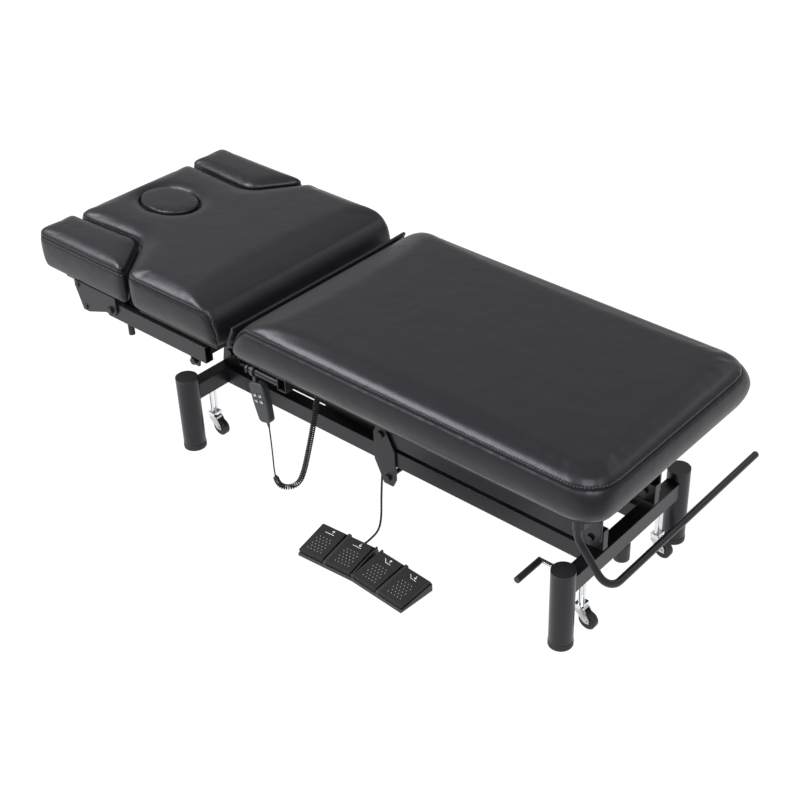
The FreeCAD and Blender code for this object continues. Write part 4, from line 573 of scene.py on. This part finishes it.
def draw_in(pad, line, depth, width):
    """Sink the cover along a line, more at some places than at others, as pulled thread does."""
    tree = KDTree(len(line))
    for number, place in enumerate(line):
        tree.insert(place, number)
    tree.balance()
    places = coordinates(pad)
    normals = np.empty(len(places) * 3)
    pad.data.vertices.foreach_get("normal", normals)
    for place, normal in zip(places, normals.reshape(-1, 3)):
        _, number, away = tree.find(place)
        if away < 3 * width:
            pull = 1 + sum(size * math.sin(turn * number) for size, turn in THREAD_WAVES)
            place -= normal * (depth * pull * math.exp(-(away / width) ** 2))
    set_coordinates(pad, places)


# %% Threads and folds
SEAM_STEP, SEAM_DEPTH, SEAM_WIDTH, FOLD_RADIUS = 6 * MM, 3 * MM, 7 * MM, 1.6 * MM


def belongs(piece, material, body):
    """Give a new piece its material and the body that it moves with."""
    piece.data.materials.append(material)
    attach(piece, body)
    return piece


def tube(name, line, radius, closed=False):
    """A thin round mesh along a line."""
    piece = spline_curve(name, line[:-1] if closed else line, radius, "POLY", closed)
    piece.data.bevel_resolution = 2
    only(piece)
    bpy.ops.object.convert(target="MESH")
    bpy.ops.object.shade_smooth()
    return bpy.context.object


def stitch_row(name, line, stitch=5.5 * MM, gap=3 * MM, thick=1.2 * MM):
    """A row of thread along a line: one stitch, an Array, a Curve."""
    guide = spline_curve(name + "_guide", line, kind="POLY")
    bpy.ops.object.select_all(action="DESELECT")
    bpy.ops.mesh.primitive_uv_sphere_add(segments=6, ring_count=4, radius=0.5)
    row = bpy.context.object
    row.name = name
    row.data.transform(Matrix.Diagonal((stitch, thick, thick, 1)))
    repeat = row.modifiers.new("repeat", "ARRAY")
    repeat.fit_type = "FIT_CURVE"
    repeat.curve = guide
    repeat.use_relative_offset = False
    repeat.use_constant_offset = True
    repeat.constant_offset_displace = (stitch + gap, 0, 0)
    bend = row.modifiers.new("bend", "CURVE")
    bend.object = guide
    apply_all(row)
    bpy.data.objects.remove(guide)
    bpy.ops.object.shade_smooth()
    return row


def sew(pad, body, corners, closed, row_at):
    """Fold a seam into a cover along a line and stitch a row beside it."""
    line = evenly(rounded_line(corners, closed), SEAM_STEP)
    draw_in(pad, on_surface(pad, line)[0], SEAM_DEPTH, SEAM_WIDTH)
    fold = on_surface(pad, line)[0]
    # the fold tube carries the painted shade of the crease
    belongs(tube(f"{pad.name}_fold", fold, FOLD_RADIUS, closed), seam_fold_painted_shade, body)
    belongs(stitch_row(f"{pad.name}_stitches", beside(pad, fold, row_at)), thread, body)


# %% [markdown]
# ### The six padded pieces
# The leg section is the big one. The backrest narrows to a head part with a face hole, which a loose plug
# closes. Two short armrests flank the head part, and a thin padded flap covers the gap between the sections.
# Where the two sections meet, their ends roll over, so there the seam runs down the edge of the roll.

# %% Seam lines
UNDERSIDE, HEIGHT, SEAM_UP = 480, 125, 99
SEAM = UNDERSIDE + SEAM_UP


def rolled_edge(end, lean, roll, y):
    """The sewn edge of a rolled end, from the underside up to where the level seam starts."""
    def spot(up, radius):
        share = up / HEIGHT
        return end + lean * share + roll * share ** 5, y, UNDERSIDE + up, radius

    return [spot(up, 0) for up in (5, 28, 52, 72, 86)] + [spot(SEAM_UP, 30)]


def across_from(corners):
    """The same corners on the other side of the table, in the opposite order."""
    return [(x, -y, z, radius) for x, y, z, radius in reversed(corners)]


leg_side = rolled_edge(-385, 70, 40, -348) + [(811, -350, SEAM, 95)]
back_side = rolled_edge(-404, -15, -62, 353) + [(-742, 356, SEAM, 22), (-856, 200, SEAM, 70),
                                                (-1127, 214, SEAM, 22)]
near_arm = [(-1129, -356, SEAM, 24), (-752, -356, SEAM, 16), (-860, -208, SEAM, 62), (-1129, -222, SEAM, 12)]
seam_lines = {"leg_cushion": leg_side + across_from(leg_side),
              "backrest_cushion": back_side + across_from(back_side),
              "near_armrest_cushion": near_arm, "far_armrest_cushion": across_from(near_arm)}

# The cover dips a little round the face hole, where it is pulled down into it.
PLUG_X, HOLE_HALF_LENGTH, HOLE_HALF_WIDTH, RIM_STEPS = -969, 98, 73, 60
hole_rim = [drawn(PLUG_X + HOLE_HALF_LENGTH * math.cos(turn), HOLE_HALF_WIDTH * math.sin(turn),
                  UNDERSIDE + HEIGHT) for turn in np.linspace(0, 2 * math.pi, RIM_STEPS)]

# %% Make the padded pieces
SHRINK, HELD_WIDTH, PAD_CAP, PAD_RELAX, ROW_OFFSET = 1 * MM, 7 * MM, 4 * MM, 12, 6 * MM
HOLE_DIP, HOLE_DIP_WIDTH = 4 * MM, 18 * MM
PADS = {"leg_cushion": ("upper", 10 * MM, 5.0), "backrest_cushion": ("backrest", 8 * MM, 5.0),
        "near_armrest_cushion": ("near_armrest", 6 * MM, 4.0),
        "far_armrest_cushion": ("far_armrest", 6 * MM, 4.0)}
for node, (body, voxel, pressure) in PADS.items():
    floor_of_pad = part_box(node)[0].z
    armrest = node.endswith("armrest_cushion")
    pad = swell(copy_of(node, node.replace("_cushion", "_pad")), voxel, SHRINK,
                (floor_of_pad, floor_of_pad + SEAM_UP * MM), HELD_WIDTH, pressure, PAD_CAP, PAD_RELAX)
    sew(pad, body, seam_lines[node], armrest, -ROW_OFFSET if armrest else ROW_OFFSET)
    if node == "backrest_cushion":
        draw_in(pad, hole_rim, HOLE_DIP, HOLE_DIP_WIDTH)
    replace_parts(belongs(pad, leatherette, body), node)
    print(pad.name, len(pad.data.polygons), "faces")

# %% [markdown]
# The plug sits in the face hole like a cork, with a dark gap round it. The flap is a padded strip whose two
# long top edges are bound with piping.

# %% Face plug and gap flap
SMALL_VOXEL, SMALL_HELD, SMALL_PRESSURE, SMALL_CAP, SMALL_RELAX = 4 * MM, 10 * MM, 3.0, 3 * MM, 2
for node, body in (("face_plug", "face_plug"), ("gap_flap", "upper")):
    pad = swell(copy_of(node, node + "_pad"), SMALL_VOXEL, SHRINK, (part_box(node)[0].z,), SMALL_HELD,
                SMALL_PRESSURE, SMALL_CAP, SMALL_RELAX)
    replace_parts(belongs(pad, leatherette, body), node)
    print(pad.name, len(pad.data.polygons), "faces")
FLAP_TOP, FLAP_EDGES, FLAP_HALF = 566, (-356, -345), 338
PIPING_STEP, PIPING_RADIUS = 20 * MM, 1.6 * MM
for number, x in enumerate(FLAP_EDGES):
    edge = evenly([drawn(x, -FLAP_HALF, FLAP_TOP), drawn(x, FLAP_HALF, FLAP_TOP)], PIPING_STEP)
    piping = tube(f"gap_flap_piping_{number + 1}", on_surface(pad, edge)[0], PIPING_RADIUS)
    belongs(piping, leatherette, "upper")

# %% [markdown]
# ## Marks and dots
# The foot control and the handset carry small printed pictograms: a flat table or a bent one, with an arrow.
# A pictogram is a few strokes, each a thin flat bar. Every pedal also has a field of raised dots for grip:
# one dot is modelled, and two Arrays of it, half a step apart, make the staggered field. The dots are painted
# light grey: a painted highlight for the glints on the bumps.

# %% Small pieces
ROUND_SHARE, ROUND_STEPS = 0.45, 3


def clear_selection(kind):
    """Leave nothing of the active mesh selected, so that code can select by place or normal."""
    bpy.ops.object.mode_set(mode="EDIT")
    bpy.ops.mesh.select_mode(type=kind)
    bpy.ops.mesh.select_all(action="DESELECT")
    bpy.ops.object.mode_set(mode="OBJECT")


def stroke_bar(matrix, length, width, thick):
    """One printed stroke: a flat bar along X whose four upright edges are rounded over."""
    bpy.ops.object.select_all(action="DESELECT")
    bpy.ops.mesh.primitive_cube_add(size=1, location=(0, 0, 0))
    bar = bpy.context.object
    bar.data.transform(Matrix.Diagonal((length, width, thick, 1)))
    clear_selection("EDGE")
    for edge in bar.data.edges:
        low, high = (bar.data.vertices[index].co for index in edge.vertices)
        edge.select = abs(low.z - high.z) > thick / 2
    bpy.ops.object.mode_set(mode="EDIT")
    bpy.ops.mesh.bevel(offset=ROUND_SHARE * width, segments=ROUND_STEPS)
    bpy.ops.object.mode_set(mode="OBJECT")
    bar.data.transform(matrix)
    return bar


def joined(name, pieces):
    """Several meshes made one."""
    bpy.ops.object.select_all(action="DESELECT")
    for piece in pieces:
        piece.select_set(True)
    bpy.context.view_layer.objects.active = pieces[0]
    bpy.ops.object.join()
    bpy.context.object.name = name
    return bpy.context.object


def middle_of(node):
    low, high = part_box(node)
    return (low + high) / 2


# %% Pictograms
FLAT_TABLE = [((-4.6, -1.8), (4.6, -1.8))]
BENT_TABLE = [((-1, -1.8), (4.6, -1.8)), ((-1, -1.8), (-4.4, 1.6))]
ARROW_UP = [((2, -0.4), (2, 2.8)), ((0.9, 1.6), (2, 2.8)), ((3.1, 1.6), (2, 2.8))]
ARROW_DOWN = [((2, -0.4), (2, 2.8)), ((0.9, 0.8), (2, -0.4)), ((3.1, 0.8), (2, -0.4))]
PICTOGRAMS = {"raise": FLAT_TABLE + ARROW_UP, "lower": FLAT_TABLE + ARROW_DOWN,
              "back_up": BENT_TABLE + ARROW_UP, "back_down": BENT_TABLE + ARROW_DOWN}


def pictogram(name, strokes, plane, scale, width, thick=0.3 * MM):
    """Printed strokes in the X-Y plane of a matrix."""
    bars = []
    for start, end in strokes:
        a, b = (Vector((*spot, 0)) * scale * MM for spot in (start, end))
        turn = Matrix.Rotation(math.atan2(b.y - a.y, b.x - a.x), 4, "Z")
        place = plane @ Matrix.Translation((a + b) / 2) @ turn
        bars.append(stroke_bar(place, (b - a).length + width, width, thick))
    return joined(name, bars)


HANDSET_LEAN = Matrix.Rotation(math.radians(-12), 4, "Y")
KEY_HALF_DEPTH, KEY_MARK_SCALE, KEY_MARK_WIDTH = 2 * MM, 1.2, 1.3 * MM
facing = HANDSET_LEAN @ Matrix.Rotation(math.pi / 2, 4, "X")
for key, strokes in PICTOGRAMS.items():
    middle = Matrix.Translation(middle_of(f"handset_button_{key}"))
    face = middle @ facing @ Matrix.Translation((0, 0, KEY_HALF_DEPTH))
    mark = pictogram(f"mark_{key}", strokes, face, KEY_MARK_SCALE, KEY_MARK_WIDTH)
    belongs(mark, printed_ink, f"button_{key}")

# %% Pedal tops
PEDAL_YAW, PEDAL_FRONT, PEDAL_BACK, PEDAL_RUN = 3.8, 22, 41, 100
TREAD_FORWARD, MARK_UP = 5 * MM, 36 * MM
PEDAL_MARK_SCALE, PEDAL_MARK_WIDTH = 3.0, 1.2 * MM
DOT_PITCH, DOT_ROWS, DOT_RADIUS, DOT_RISE = 11 * MM, 3, 2 * MM, 0.6
FIRST_ROW, ROW_STEP = -34 * MM, 0.85 * DOT_PITCH
slope = math.atan2(PEDAL_BACK - PEDAL_FRONT, PEDAL_RUN)


def pedal_plane(number):
    """The middle of a pedal's top: X across it, Y up its slope."""
    place = middle_of(f"pedal_{number}")
    place.y -= TREAD_FORWARD
    place.z = (PEDAL_FRONT + PEDAL_BACK) / 2 * MM
    yaw = math.radians(PEDAL_YAW if number < 3 else -PEDAL_YAW)
    return Matrix.Translation(place) @ Matrix.Rotation(yaw, 4, "Z") @ Matrix.Rotation(slope, 4, "X")


def dot_rows(columns, first_row):
    """Every second row of the dots, from one dot and two Arrays."""
    bpy.ops.object.select_all(action="DESELECT")
    bpy.ops.mesh.primitive_uv_sphere_add(segments=8, ring_count=4, radius=DOT_RADIUS, location=(0, 0, 0))
    dots = bpy.context.object
    first = Matrix.Translation((-DOT_PITCH * (columns - 1) / 2, first_row, 0))
    dots.data.transform(first @ Matrix.Diagonal((1, 1, DOT_RISE, 1)))
    for count, step in ((columns, (DOT_PITCH, 0, 0)), (DOT_ROWS, (0, 2 * ROW_STEP, 0))):
        repeat = dots.modifiers.new("repeat", "ARRAY")
        repeat.count = count
        repeat.use_relative_offset = False
        repeat.use_constant_offset = True
        repeat.constant_offset_displace = step
    apply_all(dots)
    return dots


for number, strokes in enumerate(PICTOGRAMS.values(), 1):
    plane = pedal_plane(number)
    field = joined(f"pedal_{number}_dots", [dot_rows(5, FIRST_ROW), dot_rows(4, FIRST_ROW + ROW_STEP)])
    field.data.transform(plane)
    only(field)
    bpy.ops.object.shade_smooth()
    # the dots carry a painted highlight: light grey for the glints on the bumps
    belongs(field, painted_highlight_dots_abs, f"pedal_{number}")
    spot = plane @ Matrix.Translation((0, MARK_UP, 0))
    mark = pictogram(f"pedal_{number}_mark", strokes, spot, PEDAL_MARK_SCALE, PEDAL_MARK_WIDTH)
    belongs(mark, printed_ink, f"pedal_{number}")
print("pictograms on", len(PICTOGRAMS), "keys and pedals")

# %% [markdown]
# ## Castor wheels
# The solid wheel is one black disc. A hub with a rim line on each side tells the tyre from the wheel's body.

# %% Hubs
HUB_RADIUS, HUB_WIDTH, HUB_LIP, DISH = 9 * MM, 18.8 * MM, 3 * MM, 0.973
RIM_RADIUS, RIM_LINE, RIM_AT = 16.5 * MM, 0.9 * MM, 9 * MM
CAP_FACING = 0.9


def wheel_hub(name):
    """A hub with dished ends, a little proud of both faces of its wheel, and two rim lines, along Y."""
    bpy.ops.object.select_all(action="DESELECT")
    bpy.ops.mesh.primitive_cylinder_add(vertices=32, radius=HUB_RADIUS, depth=HUB_WIDTH, location=(0, 0, 0))
    pieces = [bpy.context.object]
    clear_selection("FACE")
    for face in pieces[0].data.polygons:
        face.select = abs(face.normal.z) > CAP_FACING
    bpy.ops.object.mode_set(mode="EDIT")
    bpy.ops.mesh.inset(thickness=HUB_LIP)
    bpy.ops.transform.resize(value=(1, 1, DISH), center_override=(0, 0, 0))
    bpy.ops.object.mode_set(mode="OBJECT")
    for side in (-1, 1):
        bpy.ops.mesh.primitive_torus_add(major_segments=40, minor_segments=8, major_radius=RIM_RADIUS,
                                         minor_radius=RIM_LINE, location=(0, 0, 0))
        pieces.append(bpy.context.object)
        pieces[-1].data.transform(Matrix.Translation((0, 0, side * RIM_AT)))
    hub = joined(name, pieces)
    hub.data.transform(Matrix.Rotation(math.pi / 2, 4, "X"))
    return hub


for end in ("head", "foot"):
    for side in ("near", "far"):
        hub = wheel_hub(f"hub_{end}_{side}")
        hub.data.transform(Matrix.Translation(middle_of(f"castor_wheel_{end}_{side}")))
        belongs(hub, moulded_abs, f"wheel_{end}_{side}")
print("four hubs")
